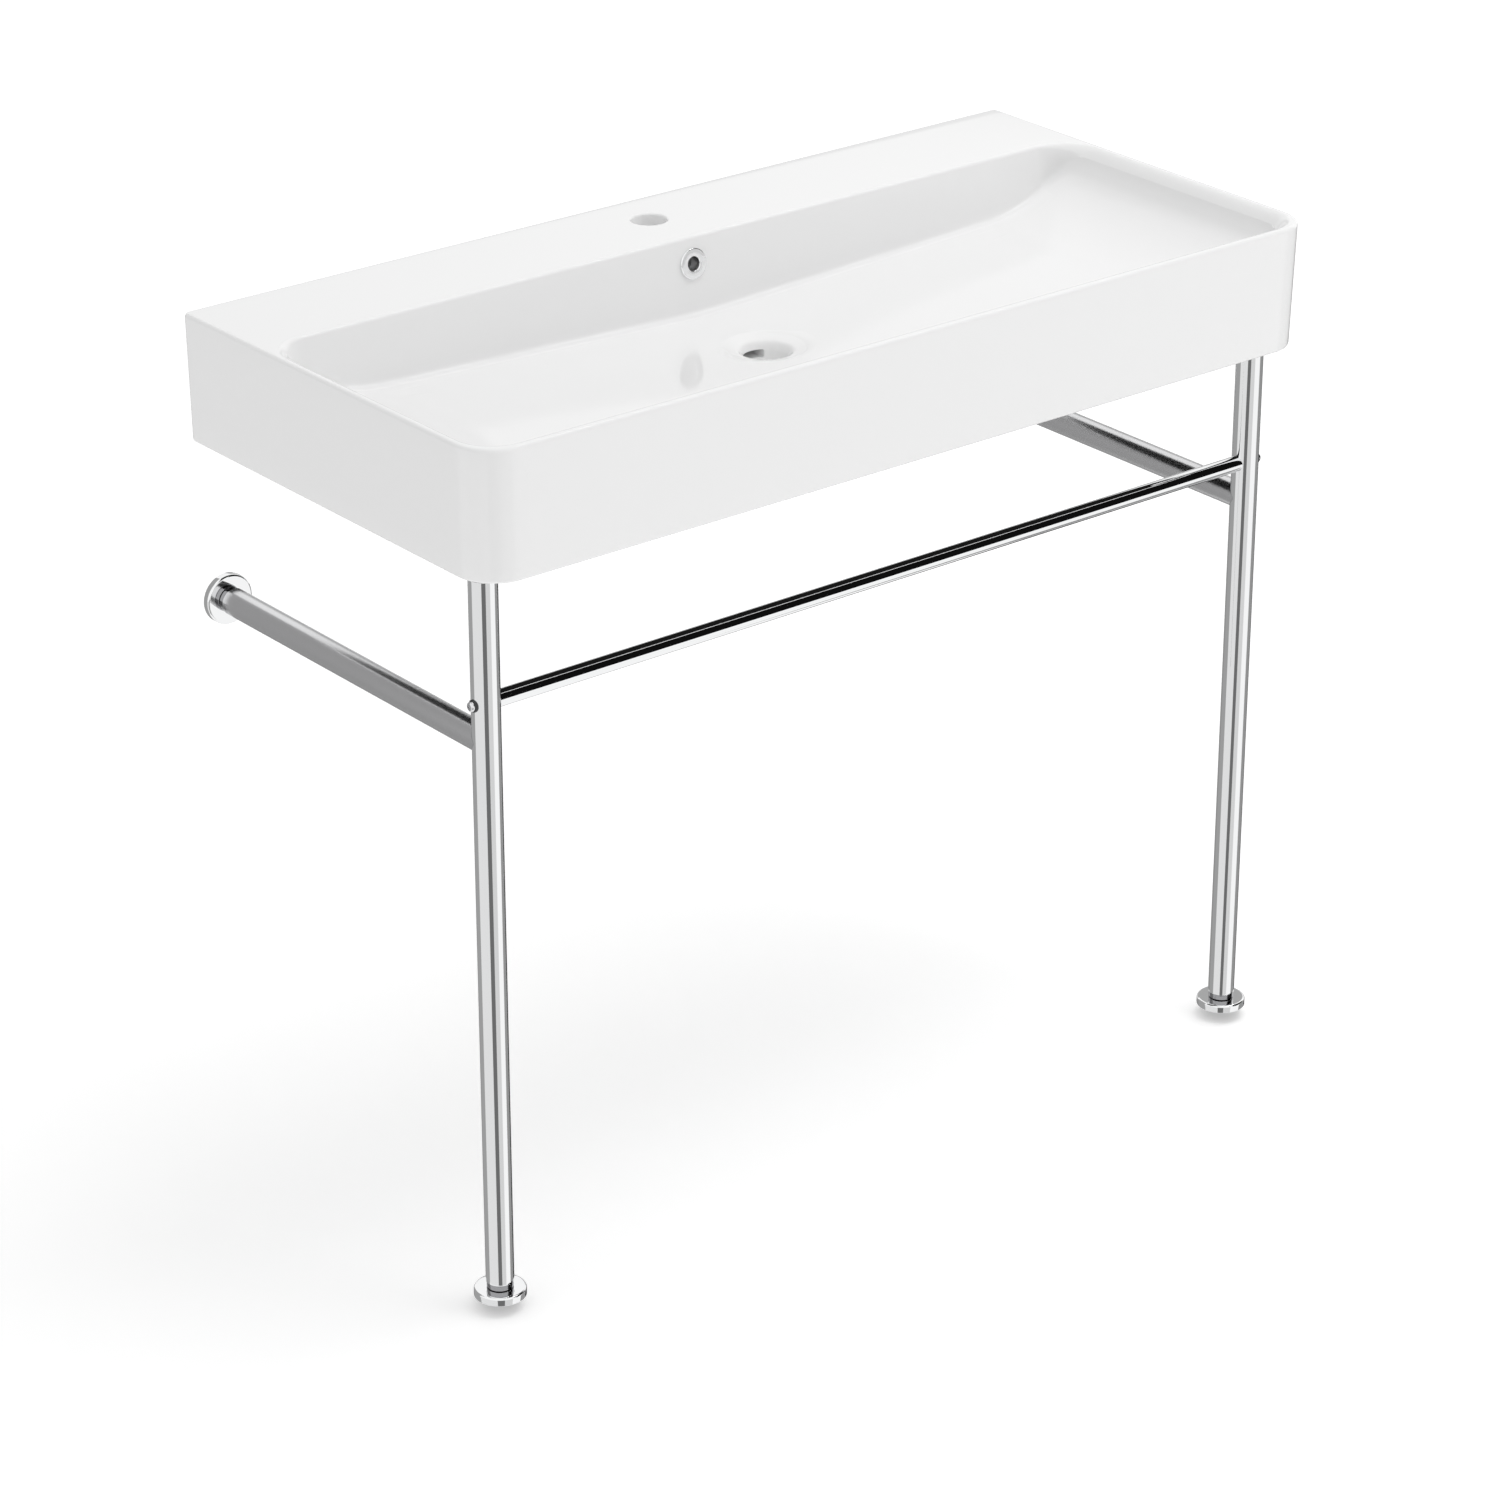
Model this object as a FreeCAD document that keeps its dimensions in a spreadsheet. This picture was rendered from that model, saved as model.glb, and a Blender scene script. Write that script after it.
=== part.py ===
"""Console sink: a wide vitreous-china basin on the wall, carried in front by two tubular legs.

The frame: +X to the right, the wall is the plane Y = 0 and the front is -Y, +Z is up.
The origin is midway between the two wall-bolt holes, on the back face of the basin.
"""
import FreeCAD, Part
import math
import os
import Sketcher

doc = FreeCAD.newDocument("console_sink")
sheet = doc.addObject("Spreadsheet::Sheet", "dims")

# Driving sizes in millimetres: name, size, what it is.
DRIVING_SIZES = [
    ("basin_width", 1000, "overall width of the china"),
    ("basin_depth", 470, "wall to front face"),
    ("basin_height", 127, "rim to lower edge of the aprons"),
    ("rim_height", 865, "floor to rim"),
    ("bolt_drop", 70, "rim down to the wall-bolt axis"),
    ("side_draft", 2.5, "how far the aprons draw in at the lower edge"),
    ("front_corner", 40, "plan radius of the front corners"),
    ("back_corner", 8, "plan radius of the corners at the wall"),
    ("rim_edge", 6, "rounding of the outer top edge"),
    ("lower_edge", 3, "rounding of the outer lower edge"),
    ("apron_wall", 12, "thickness of the aprons"),
    ("deck_wall", 14, "thickness of the back deck"),
    ("bowl_wall", 12, "thickness under and behind the bowl"),
    ("rim_width", 16, "width of the rim at the front and the sides"),
    ("deck_depth", 124, "wall to the bowl's back edge"),
    ("bowl_front_corner", 26, "plan radius of the bowl's front corners at the rim"),
    ("bowl_back_corner", 34, "plan radius of the bowl's back corners at the rim"),
    ("floor_corner", 24, "plan radius of the bowl's floor corners"),
    ("floor_depth", 68, "rim down to the edge of the bowl's floor"),
    ("end_run", 130, "length of the curved ramp at each end of the bowl"),
    ("back_slope", 9, "how far the bowl's back wall runs in"),
    ("front_slope", 10, "how far the bowl's front wall runs in"),
    ("blend_on_wall", 0.36, "share of the wall's height that turns into the floor"),
    ("blend_on_floor", 0.16, "share of the floor's run that turns up into the wall"),
    ("bowl_edge", 6, "rounding of the bowl's top edge"),
    ("drain_depth", 80, "rim down to the floor at the drain"),
    ("drain_from_wall", 240, "wall to the drain's axis"),
    ("drain_bore", 45, "diameter of the drain hole"),
    ("drain_dish", 72, "diameter of the dished drain seat"),
    ("dish_sink", 6, "depth of the dished seat"),
    ("bore_chamfer", 3, "bevel between the dished seat and the drain hole"),
    ("drain_flat", 0.5, "half the straight stretch left in the bowl's section at the drain"),
    ("drain_boss", 76, "diameter of the boss round the drain hole"),
    ("boss_drop", 34, "length of the drain hole below its seat"),
    ("faucet_bore", 35, "diameter of the faucet hole"),
    ("faucet_from_wall", 59, "wall to the faucet's axis"),
    ("overflow_drop", 27, "rim down to the overflow's axis"),
    ("overflow_bore", 22.4, "diameter of the overflow hole"),
    ("channel_width", 26, "width of the overflow channel"),
    ("channel_depth", 10, "front to back of the overflow channel"),
    ("channel_wall", 8, "china round the overflow channel"),
    ("roof_drop", 2, "underside of the bowl at the drain down to the channel's roof"),
    ("bolt_spacing", 280, "distance between the wall-bolt holes"),
    ("bolt_bore", 14, "diameter of the wall-bolt holes"),
    ("bolt_boss", 44, "diameter of the pads round the wall-bolt holes"),
    ("bolt_boss_depth", 20, "thickness of those pads, the wall of the hole"),
    ("leg_pad", 54, "side of the china pad over each leg"),
    ("peg_recess_bore", 30, "diameter of the recess that takes the leg's peg"),
    ("peg_recess_depth", 4, "depth of that recess"),
    ("tube_diameter", 27, "outside of the legs and arms"),
    ("tube_wall", 1.5, "wall of the legs and arms"),
    ("leg_from_side", 33, "side of the china to the legs' axes"),
    ("leg_from_front", 48, "front face of the china to the legs' axes"),
    ("arm_height", 571, "floor to the arms' axes"),
    ("bar_rise", 38, "arms' axes up to the towel bar's axis"),
    ("bar_diameter", 16, "outside of the towel bar"),
    ("bar_wall", 1.2, "wall of the towel bar"),
    ("saddle_gap", 0.1, "seam between a saddle end and the leg"),
    ("disc_diameter", 50, "outside of the feet and flanges"),
    ("disc_height", 8, "thickness of the feet and flanges"),
    ("disc_edge", 1.2, "bevel of a disc's outer edge"),
    ("collar_diameter", 25.6, "outside of the dark collar"),
    ("collar_height", 6, "length of the dark collar"),
    ("disc_gap", 0.8, "open seam between collar and disc"),
    ("pad_height", 1.2, "thickness of the rubber pads"),
    ("pad_inset", 4, "how far a rubber pad stays inside its disc"),
    ("pad_sink", 0.7, "how deep a rubber pad sits in its disc"),
    ("stud_diameter", 10, "outside of the adjusting studs"),
    ("stud_length", 44, "length of an adjusting stud above its disc"),
    ("stud_seat", 4, "how deep a stud is set into its disc"),
    ("insert_length", 22, "length of a threaded insert inside its tube"),
    ("fit_gap", 0.05, "running clearance on the radius of studs and screws"),
    ("slug_margin", 15, "how far the slug passes the arm's and the bar's axes"),
    ("arm_stud_diameter", 8, "outside of the stud that joins arm and leg"),
    ("plug_length", 24, "length of the plugs in the arm's front end and the bar"),
    ("plug_setback", 3, "how far those plugs sit behind the saddle"),
    ("screw_diameter", 5, "outside of the bar's screws"),
    ("screw_head", 9.6, "diameter of a screw head"),
    ("screw_head_height", 3.4, "height of a screw head"),
    ("screw_dome", 1.8, "bevel of a screw head's top edge"),
    ("cross_width", 1.1, "width of the cross recess's slots"),
    ("cross_span", 5.2, "length of the cross recess's slots"),
    ("cross_depth", 1.6, "depth of the cross recess"),
    ("washer_diameter", 12, "outside of the cup washers"),
    ("washer_height", 1.4, "thickness of a cup washer on top of the tube's crown"),
    ("peg_head", 26, "diameter of the peg's head"),
    ("peg_head_height", 4, "thickness of the peg's head"),
    ("cushion_height", 2, "thickness of the rubber cushion on the peg"),
    ("leg_end_gap", 6, "lower edge of the china down to the leg's insert"),
    ("top_flange", 3, "thickness of the top insert's flange"),
    ("ring_diameter", 31, "outside of the overflow ring"),
    ("ring_height", 2.4, "thickness of the overflow ring's face"),
    ("ring_edge", 0.8, "bevel of the ring's face"),
    ("ring_bore", 14, "opening of the overflow ring"),
    ("ring_sleeve", 18, "outside of the ring's sleeve"),
    ("ring_sleeve_length", 11, "length of the ring's sleeve"),
    ("thread_grip", 18, "length of a screw or stud inside its threaded hole"),
    ("hole_slack", 0.25, "clearance on the radius where a screw only passes through"),
    ("small_edge", 0.6, "bevel of small edges"),
    ("cut_margin", 1, "how far a cut runs past the face that it opens"),
]
for row, (name, number, meaning) in enumerate(DRIVING_SIZES, start=1):
    sheet.set("A%d" % row, meaning)
    sheet.set("B%d" % row, str(number))
    sheet.setAlias("B%d" % row, name)
doc.recompute()

SIDES = (("left", "-1"), ("right", "1"))
WALL_STEPS = 3          # steps of the bowl's wall above the turn
TURN_STEPS = 4          # steps of the bowl's turn from wall to floor
LEAST_CHANGE = 1e-6     # smallest change of volume that counts, in cubic millimetres
CLOSE = 0.01            # two sizes this near are the same, in millimetres

# Heights and places that follow from the driving sizes.
RIM = "dims.bolt_drop"
FLOOR = "(dims.bolt_drop - dims.rim_height)"
APRON_EDGE = "(dims.bolt_drop - dims.basin_height)"
FRONT = "(-dims.basin_depth)"
LEG_Y = "(dims.leg_from_front - dims.basin_depth)"
ARM_Z = "(%s + dims.arm_height)" % FLOOR
BAR_Z = "(%s + dims.bar_rise)" % ARM_Z
BAR_HEIGHT = "(dims.arm_height + dims.bar_rise)"
LEG_X = "(dims.basin_width / 2 - dims.leg_from_side)"
STACK = "(dims.pad_height - dims.pad_sink + dims.disc_height + dims.disc_gap + dims.collar_height)"
LEG_TOP = "(%s - dims.leg_end_gap - dims.top_flange)" % APRON_EDGE
ARM_BACK = "(-%s)" % STACK
TUBE_BORE = "(dims.tube_diameter / 2 - dims.tube_wall)"


def size(expression):
    """The present size of an expression on the sheet, as a plain number."""
    result = sheet.evalExpression(expression)
    return float(getattr(result, "Value", result))


def side_x(sign):
    return "(%s * %s)" % (sign, LEG_X)


# ---------------------------------------------------------------- sketches

def body_named(label):
    body = doc.addObject("PartDesign::Body", label)
    body.Label = label
    return body


def sketch_on(body, role, name, offset="0"):
    """A sketch on one of the body's own origin planes, moved along the plane's normal."""
    plane = next(item for item in body.Origin.OriginFeatures if item.Role == role)
    sketch = body.newObject("Sketcher::SketchObject", name)
    sketch.AttachmentSupport = (plane, [""])
    sketch.MapMode = "FlatFace"
    if offset != "0":
        sketch.setExpression("AttachmentOffset.Base.z", offset)
    return sketch


def tie(sketch, constraint, expression):
    number = sketch.addConstraint(constraint)
    sketch.setExpression("Constraints[%d]" % number, expression)


def hold_point(sketch, edge, point, x, y):
    """Holds a point by its two distances from the sketch's origin."""
    if x == "0":
        sketch.addConstraint(Sketcher.Constraint("PointOnObject", edge, point, -2))
    else:
        tie(sketch, Sketcher.Constraint("DistanceX", -1, 1, edge, point, size(x)), x)
    if y == "0":
        sketch.addConstraint(Sketcher.Constraint("PointOnObject", edge, point, -1))
    else:
        tie(sketch, Sketcher.Constraint("DistanceY", -1, 1, edge, point, size(y)), y)


def outline(sketch, corners):
    """A closed straight-sided outline through the given corners."""
    first = sketch.GeometryCount
    count = len(corners)
    points = [FreeCAD.Vector(size(x), size(y), 0) for x, y in corners]
    for index in range(count):
        sketch.addGeometry(Part.LineSegment(points[index], points[(index + 1) % count]), False)
    for index in range(count):
        following = first + (index + 1) % count
        sketch.addConstraint(Sketcher.Constraint("Coincident", first + index, 2, following, 1))
    for index, (x, y) in enumerate(corners):
        hold_point(sketch, first + index, 1, x, y)


def circle(sketch, x, y, radius):
    centre = FreeCAD.Vector(size(x), size(y), 0)
    number = sketch.addGeometry(Part.Circle(centre, FreeCAD.Vector(0, 0, 1), size(radius)), False)
    tie(sketch, Sketcher.Constraint("Radius", number, size(radius)), radius)
    hold_point(sketch, number, 3, x, y)


def rounded_rectangle(sketch, left, right, front, back, front_radius, back_radius):
    """A rectangle with arcs at its corners; front and back corners have their own radius."""
    x0, x1, y0, y1 = (size(value) for value in (left, right, front, back))
    rf, rb = size(front_radius), size(back_radius)
    normal = FreeCAD.Vector(0, 0, 1)
    sides = [((x0 + rf, y0), (x1 - rf, y0)), ((x1, y0 + rf), (x1, y1 - rb)),
             ((x1 - rb, y1), (x0 + rb, y1)), ((x0, y1 - rb), (x0, y0 + rf))]
    for start, end in sides:
        sketch.addGeometry(Part.LineSegment(FreeCAD.Vector(*start, 0), FreeCAD.Vector(*end, 0)), False)
    arcs = [((x1 - rf, y0 + rf), rf, -90), ((x1 - rb, y1 - rb), rb, 0),
            ((x0 + rb, y1 - rb), rb, 90), ((x0 + rf, y0 + rf), rf, 180)]
    for centre, radius, start in arcs:
        ring = Part.Circle(FreeCAD.Vector(*centre, 0), normal, radius)
        sketch.addGeometry(Part.ArcOfCircle(ring, math.radians(start), math.radians(start + 90)), False)
    for corner in range(4):
        sketch.addConstraint(Sketcher.Constraint("Tangent", corner, 2, 4 + corner, 1))
        sketch.addConstraint(Sketcher.Constraint("Tangent", 4 + corner, 2, (corner + 1) % 4, 1))
    for line, way in enumerate(("Horizontal", "Vertical", "Horizontal", "Vertical")):
        sketch.addConstraint(Sketcher.Constraint(way, line))
    for arc, radius in ((4, front_radius), (5, back_radius), (6, back_radius), (7, front_radius)):
        tie(sketch, Sketcher.Constraint("Radius", arc, size(radius)), radius)
    for line, way, place in ((0, "DistanceY", front), (1, "DistanceX", right),
                             (2, "DistanceY", back), (3, "DistanceX", left)):
        if place == "0":
            sketch.addConstraint(Sketcher.Constraint("PointOnObject", line, 1, -1))
        else:
            tie(sketch, Sketcher.Constraint(way, -1, 1, line, 1, size(place)), place)


# ---------------------------------------------------------------- features

def checked(body, before, grows):
    """Recomputes the body and makes sure that its last feature added or removed material."""
    doc.recompute()
    after = body.Shape.Volume
    if grows and not after > before + LEAST_CHANGE:
        raise RuntimeError("%s: the last feature added nothing" % body.Label)
    if not grows and not after < before - LEAST_CHANGE:
        raise RuntimeError("%s: the last feature removed nothing" % body.Label)


def volume(body):
    return 0.0 if body.Shape.isNull() else body.Shape.Volume


def prism(body, kind, sketch, length, reverse=False, midplane=False):
    before = volume(body)
    feature = body.newObject("PartDesign::" + kind, "%s_%s" % (sketch.Name, kind.lower()))
    feature.Profile = sketch
    feature.Reversed = reverse
    feature.Midplane = midplane
    feature.Length = size(length)
    feature.setExpression("Length", length)
    checked(body, before, kind == "Pad")
    return feature


def pad(body, sketch, length, reverse=False, midplane=False):
    return prism(body, "Pad", sketch, length, reverse, midplane)


def pocket(body, sketch, length, reverse=False, midplane=False):
    return prism(body, "Pocket", sketch, length, reverse, midplane)


def turned(body, kind, sketch, axis="V_Axis"):
    before = volume(body)
    feature = body.newObject("PartDesign::" + kind, "%s_%s" % (sketch.Name, kind.lower()))
    feature.Profile = sketch
    feature.ReferenceAxis = (sketch, [axis])
    feature.Angle = 360
    checked(body, before, kind == "Revolution")
    return feature


def loft(body, kind, sections, ruled=True):
    before = volume(body)
    feature = body.newObject("PartDesign::" + kind, "%s_loft" % sections[0].Name)
    feature.Profile = sections[0]
    feature.Sections = sections[1:]
    feature.Ruled = ruled
    checked(body, before, kind == "AdditiveLoft")
    return feature


def edges_of(feature, wanted):
    """Names of the feature's edges that the given test picks."""
    return ["Edge%d" % number for number, edge in enumerate(feature.Shape.Edges, start=1) if wanted(edge)]


def rounded(body, names, radius, kind="Fillet"):
    before = body.Tip
    feature = body.newObject("PartDesign::" + kind, "%s_%s" % (body.Name, kind.lower()))
    feature.Base = (before, names)
    setting = "Radius" if kind == "Fillet" else "Size"
    setattr(feature, setting, size(radius))
    feature.setExpression(setting, radius)
    doc.recompute()
    return feature


def place(body, x="0", y="0", z="0", axis=(0, 0, 1), angle=0):
    body.Placement = FreeCAD.Placement(FreeCAD.Vector(), FreeCAD.Rotation(FreeCAD.Vector(*axis), angle))
    for way, expression in (("x", x), ("y", y), ("z", z)):
        if expression != "0":
            body.setExpression("Placement.Base.%s" % way, expression)


def near(number, target):
    return abs(number - target) < CLOSE


# ---------------------------------------------------------------- the basin

def build_basin():
    """One hollow china casting, open below: aprons, deck, bowl, drain boss and overflow channel."""
    body = body_named("basin")
    half = "dims.basin_width / 2"

    # Outer block: the aprons draw in a little towards the lower edge, and the back is ground flat for the wall.
    top = sketch_on(body, "XY_Plane", "rim_outline", RIM)
    rounded_rectangle(top, "-" + half, half, FRONT, "dims.cut_margin", "dims.front_corner", "dims.back_corner")
    low = sketch_on(body, "XY_Plane", "apron_outline", APRON_EDGE)
    rounded_rectangle(low, "-%s + dims.side_draft" % half, "%s - dims.side_draft" % half,
                      "%s + dims.side_draft" % FRONT, "dims.cut_margin", "dims.front_corner",
                      "dims.back_corner")
    block = loft(body, "AdditiveLoft", [top, low])
    rim_z, low_z = size(RIM), size(APRON_EDGE)
    rounded(body, edges_of(block, lambda edge: all(near(v.Z, rim_z) for v in edge.Vertexes)), "dims.rim_edge")
    rounded(body, edges_of(body.Tip, lambda edge: all(near(v.Z, low_z) for v in edge.Vertexes)),
            "dims.lower_edge")
    ground = sketch_on(body, "XZ_Plane", "ground_back")
    outline(ground, [("-" + half, APRON_EDGE), (half, APRON_EDGE), (half, RIM), ("-" + half, RIM)])
    pocket(body, ground, "2 * dims.cut_margin")

    # Underside: hollow up to the deck, between the aprons.
    hollow = sketch_on(body, "XY_Plane", "underside", APRON_EDGE)
    inner = "(%s - dims.side_draft - dims.apron_wall)" % half
    rounded_rectangle(hollow, "-" + inner, inner, "%s + dims.side_draft + dims.apron_wall" % FRONT,
                      "-dims.apron_wall", "dims.front_corner - dims.apron_wall", "dims.back_corner")
    pocket(body, hollow, "dims.basin_height - dims.deck_wall", reverse=True)

    # The bowl runs from its outline at the rim, down its walls to the edge of the floor, and in to the drain.
    # A section between them is a blend: its weights say how much of each of the three outlines it takes.
    reach = "(dims.drain_dish / 2)"
    drain_corner = "(%s - dims.drain_flat)" % reach
    end_at_rim = "(%s - dims.rim_width)" % half
    front_at_rim = "(%s + dims.rim_width)" % FRONT
    back_at_rim = "(-dims.deck_depth)"
    stations = {
        "front": (front_at_rim, "(%s + dims.front_slope)" % front_at_rim,
                  "(-dims.drain_from_wall - %s)" % reach),
        "back": (back_at_rim, "(%s - dims.back_slope)" % back_at_rim, "(-dims.drain_from_wall + %s)" % reach),
        "front_radius": ("dims.bowl_front_corner", "dims.floor_corner", drain_corner),
        "back_radius": ("dims.bowl_back_corner", "dims.floor_corner", drain_corner),
        "depth": ("0", "dims.floor_depth", "dims.drain_depth"),
    }
    at_rim, at_floor, at_drain = (1, 0, 0), (0, 1, 0), (0, 0, 1)

    def mixed(weights, name):
        shares = ["%s * %s" % (weight, outline_size)
                  for weight, outline_size in zip(weights, stations[name]) if weight != "0"]
        return "(%s)" % " + ".join(shares)

    def end_at(depth):
        """Each end is a quarter ellipse from the rim down to the floor, which then falls straight to the drain."""
        down = "min(1; %s / dims.floor_depth)" % depth
        along = "max(0; (%s - dims.floor_depth) / (dims.drain_depth - dims.floor_depth))" % depth
        ramp = "(%s - dims.end_run * (1 - sqrt(1 - (%s)^2)))" % (end_at_rim, down)
        return "(%s * (1 - %s) + %s * %s)" % (ramp, along, reach, along)

    def bowl_section(name, weights, grow="0", drop="0"):
        """A level section of the bowl, or of its outside: grown by the bowl's wall, and lower by the drop."""
        weights = [str(weight) for weight in weights]
        depth = mixed(weights, "depth")
        sketch = sketch_on(body, "XY_Plane", name, "%s - %s - %s" % (RIM, depth, drop))
        wide = "(%s + %s)" % (end_at(depth), grow)
        rounded_rectangle(sketch, "-" + wide, wide,
                          "(%s - %s)" % (mixed(weights, "front"), grow),
                          "(%s + %s)" % (mixed(weights, "back"), grow),
                          "(%s + %s)" % (mixed(weights, "front_radius"), grow),
                          "(%s + %s)" % (mixed(weights, "back_radius"), grow))
        return sketch

    wall = "dims.bowl_wall"
    bulge = [bowl_section("bulge_rim", at_rim, wall, "dims.deck_wall / 2")]
    for step in range(1, WALL_STEPS + 1):
        lower = step / WALL_STEPS
        bulge.append(bowl_section("bulge_%d" % step, ("%.6f" % (1 - lower), "%.6f" % lower, 0), wall, wall))
    loft(body, "AdditiveLoft", bulge)
    loft(body, "AdditiveLoft", [bowl_section("bulge_floor", at_floor, wall, wall),
                                bowl_section("bulge_throat", at_drain, wall, wall)])

    # Solid china over each leg, from the apron's lower edge up into the bowl's outside.
    for side, sign in SIDES:
        corner = sketch_on(body, "XY_Plane", "leg_pad_" + side, APRON_EDGE)
        near_side = "(%s - %s * dims.leg_pad / 2)" % (side_x(sign), sign)
        far_side = "(%s * (%s - dims.side_draft - dims.apron_wall / 2))" % (sign, half)
        near_wall = "(%s + dims.leg_pad / 2)" % LEG_Y
        at_front = "(%s + dims.side_draft + dims.apron_wall / 2)" % FRONT
        inset = "dims.front_corner / 2"
        outline(corner, [(near_side, at_front), ("(%s - %s * %s)" % (far_side, sign, inset), at_front),
                         (far_side, "(%s + %s)" % (at_front, inset)), (far_side, near_wall),
                         (near_side, near_wall)])
        pad(body, corner, "dims.basin_height - dims.deck_wall")

    # Boss round the drain hole, and the overflow channel's outside behind and under the bowl.
    boss_end = "%s - dims.drain_depth - dims.dish_sink - dims.boss_drop" % RIM
    boss = sketch_on(body, "XY_Plane", "boss", boss_end)
    circle(boss, "0", "-dims.drain_from_wall", "dims.drain_boss / 2")
    pad(body, boss, "dims.boss_drop + dims.dish_sink")

    duct_front = "(-dims.deck_depth - dims.back_slope + dims.bowl_wall)"
    duct_top = "(%s - dims.deck_wall)" % RIM
    duct_roof = "(%s - dims.drain_depth - dims.bowl_wall - dims.roof_drop)" % RIM
    duct_floor = "(%s - dims.channel_depth)" % duct_roof

    def duct(name, grow):
        """The channel's bent outline in the middle plane, from the overflow down and forward to the drain."""
        sketch = sketch_on(body, "YZ_Plane", name)
        back = "(%s + dims.back_slope + dims.channel_depth + %s)" % (duct_front, grow)
        outline(sketch, [
            ("(%s + dims.back_slope)" % duct_front, duct_top),
            ("(%s + dims.back_slope)" % duct_front, duct_roof),
            ("-dims.drain_from_wall", duct_roof),
            ("-dims.drain_from_wall", "(%s - %s)" % (duct_floor, grow)),
            (back, "(%s - %s)" % (duct_floor, grow)),
            (back, duct_top)])
        return sketch

    shell = duct("duct_shell", "dims.channel_wall")
    pad(body, shell, "dims.channel_width + 2 * dims.channel_wall", midplane=True)

    # Pads round the wall-bolt holes.
    for side, sign in SIDES:
        bolt_pad = sketch_on(body, "XZ_Plane", "bolt_pad_" + side)
        circle(bolt_pad, "(%s * dims.bolt_spacing / 2)" % sign, "0", "dims.bolt_boss / 2")
        pad(body, bolt_pad, "dims.bolt_boss_depth")

    # The bowl itself: its walls, a smooth turn into the floor, and the floor's fall to the drain.
    wall_share, floor_share = "dims.blend_on_wall", "dims.blend_on_floor"
    walls, turn = [], []
    for step in range(WALL_STEPS + 1):
        lower = "%.6f * (1 - %s)" % (step / WALL_STEPS, wall_share)
        walls.append(("(1 - %s)" % lower, lower, "0"))
    for step in range(TURN_STEPS + 1):
        u = step / TURN_STEPS
        turn.append(("%.6f * %s" % ((1 - u) ** 2, wall_share),
                     "(1 - %.6f * %s - %.6f * %s)" % ((1 - u) ** 2, wall_share, u ** 2, floor_share),
                     "%.6f * %s" % (u ** 2, floor_share)))
    for part, sections in (("wall", walls), ("turn", turn)):
        loft(body, "SubtractiveLoft", [bowl_section("%s_%d" % (part, step), weights)
                                       for step, weights in enumerate(sections)], ruled=False)
    loft(body, "SubtractiveLoft", [bowl_section("floor_edge", turn[-1]), bowl_section("floor_end", at_drain)])
    rounded(body, edges_of(body.Tip, lambda edge: all(near(v.Z, rim_z) for v in edge.Vertexes)
                           and inside_bowl(edge)), "dims.bowl_edge")

    # Drain: dished seat, then the straight hole.
    seat = sketch_on(body, "XZ_Plane", "drain_seat", "dims.drain_from_wall")
    seat_z = "(%s - dims.drain_depth)" % RIM
    bore = "dims.drain_bore / 2"
    above = "(%s + dims.cut_margin)" % seat_z
    dish_z = "(%s - dims.dish_sink)" % seat_z
    below = "(%s - dims.boss_drop - dims.cut_margin)" % dish_z
    outline(seat, [("0", above), (reach, above), (reach, seat_z), ("%s + dims.bore_chamfer" % bore, dish_z),
                   (bore, "%s - dims.bore_chamfer" % dish_z), (bore, below), ("0", below)])
    turned(body, "Groove", seat)

    channel = duct("duct_channel", "0")
    pocket(body, channel, "dims.channel_width", midplane=True)
    bowl_side = "dims.deck_depth + dims.back_slope + dims.cut_margin"
    overflow = sketch_on(body, "XZ_Plane", "overflow_hole", bowl_side)
    circle(overflow, "0", "%s - dims.overflow_drop" % RIM, "dims.overflow_bore / 2")
    pocket(body, overflow, "dims.bowl_wall + dims.back_slope + dims.channel_depth / 2")

    faucet = sketch_on(body, "XY_Plane", "faucet_hole", RIM)
    circle(faucet, "0", "-dims.faucet_from_wall", "dims.faucet_bore / 2")
    pocket(body, faucet, "dims.deck_wall")

    for side, sign in SIDES:
        bolt_hole = sketch_on(body, "XZ_Plane", "bolt_hole_" + side)
        circle(bolt_hole, "(%s * dims.bolt_spacing / 2)" % sign, "0", "dims.bolt_bore / 2")
        pocket(body, bolt_hole, "dims.bolt_boss_depth", reverse=True)
        recess = sketch_on(body, "XY_Plane", "peg_recess_" + side, APRON_EDGE)
        circle(recess, side_x(sign), LEG_Y, "dims.peg_recess_bore / 2")
        pocket(body, recess, "dims.peg_recess_depth", reverse=True)
    return body


def inside_bowl(edge):
    """True for an edge of the bowl, as against one on the outside of the aprons."""
    end = size("dims.basin_width / 2 - dims.rim_width") + CLOSE
    front = size("%s + dims.rim_width" % FRONT) - CLOSE
    back = CLOSE - size("dims.deck_depth")
    return all(abs(v.X) < end and front < v.Y < back for v in edge.Vertexes)


# ---------------------------------------------------------------- turned pieces

def turned_body(label, profile):
    """A piece turned about its own Z axis; the profile is a list of radius and height."""
    body = body_named(label)
    sketch = sketch_on(body, "XZ_Plane", label + "_profile")
    outline(sketch, profile)
    turned(body, "Revolution", sketch)
    return body


def ring_edges(body, height, radius):
    """The round edge of a turned piece at the given height and radius."""
    z, r = size(height), size(radius)
    return edges_of(body.Tip, lambda edge: edge.Curve.TypeId == "Part::GeomCircle"
                    and near(edge.Curve.Radius, r) and near(edge.Curve.Center.z, z))


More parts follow.
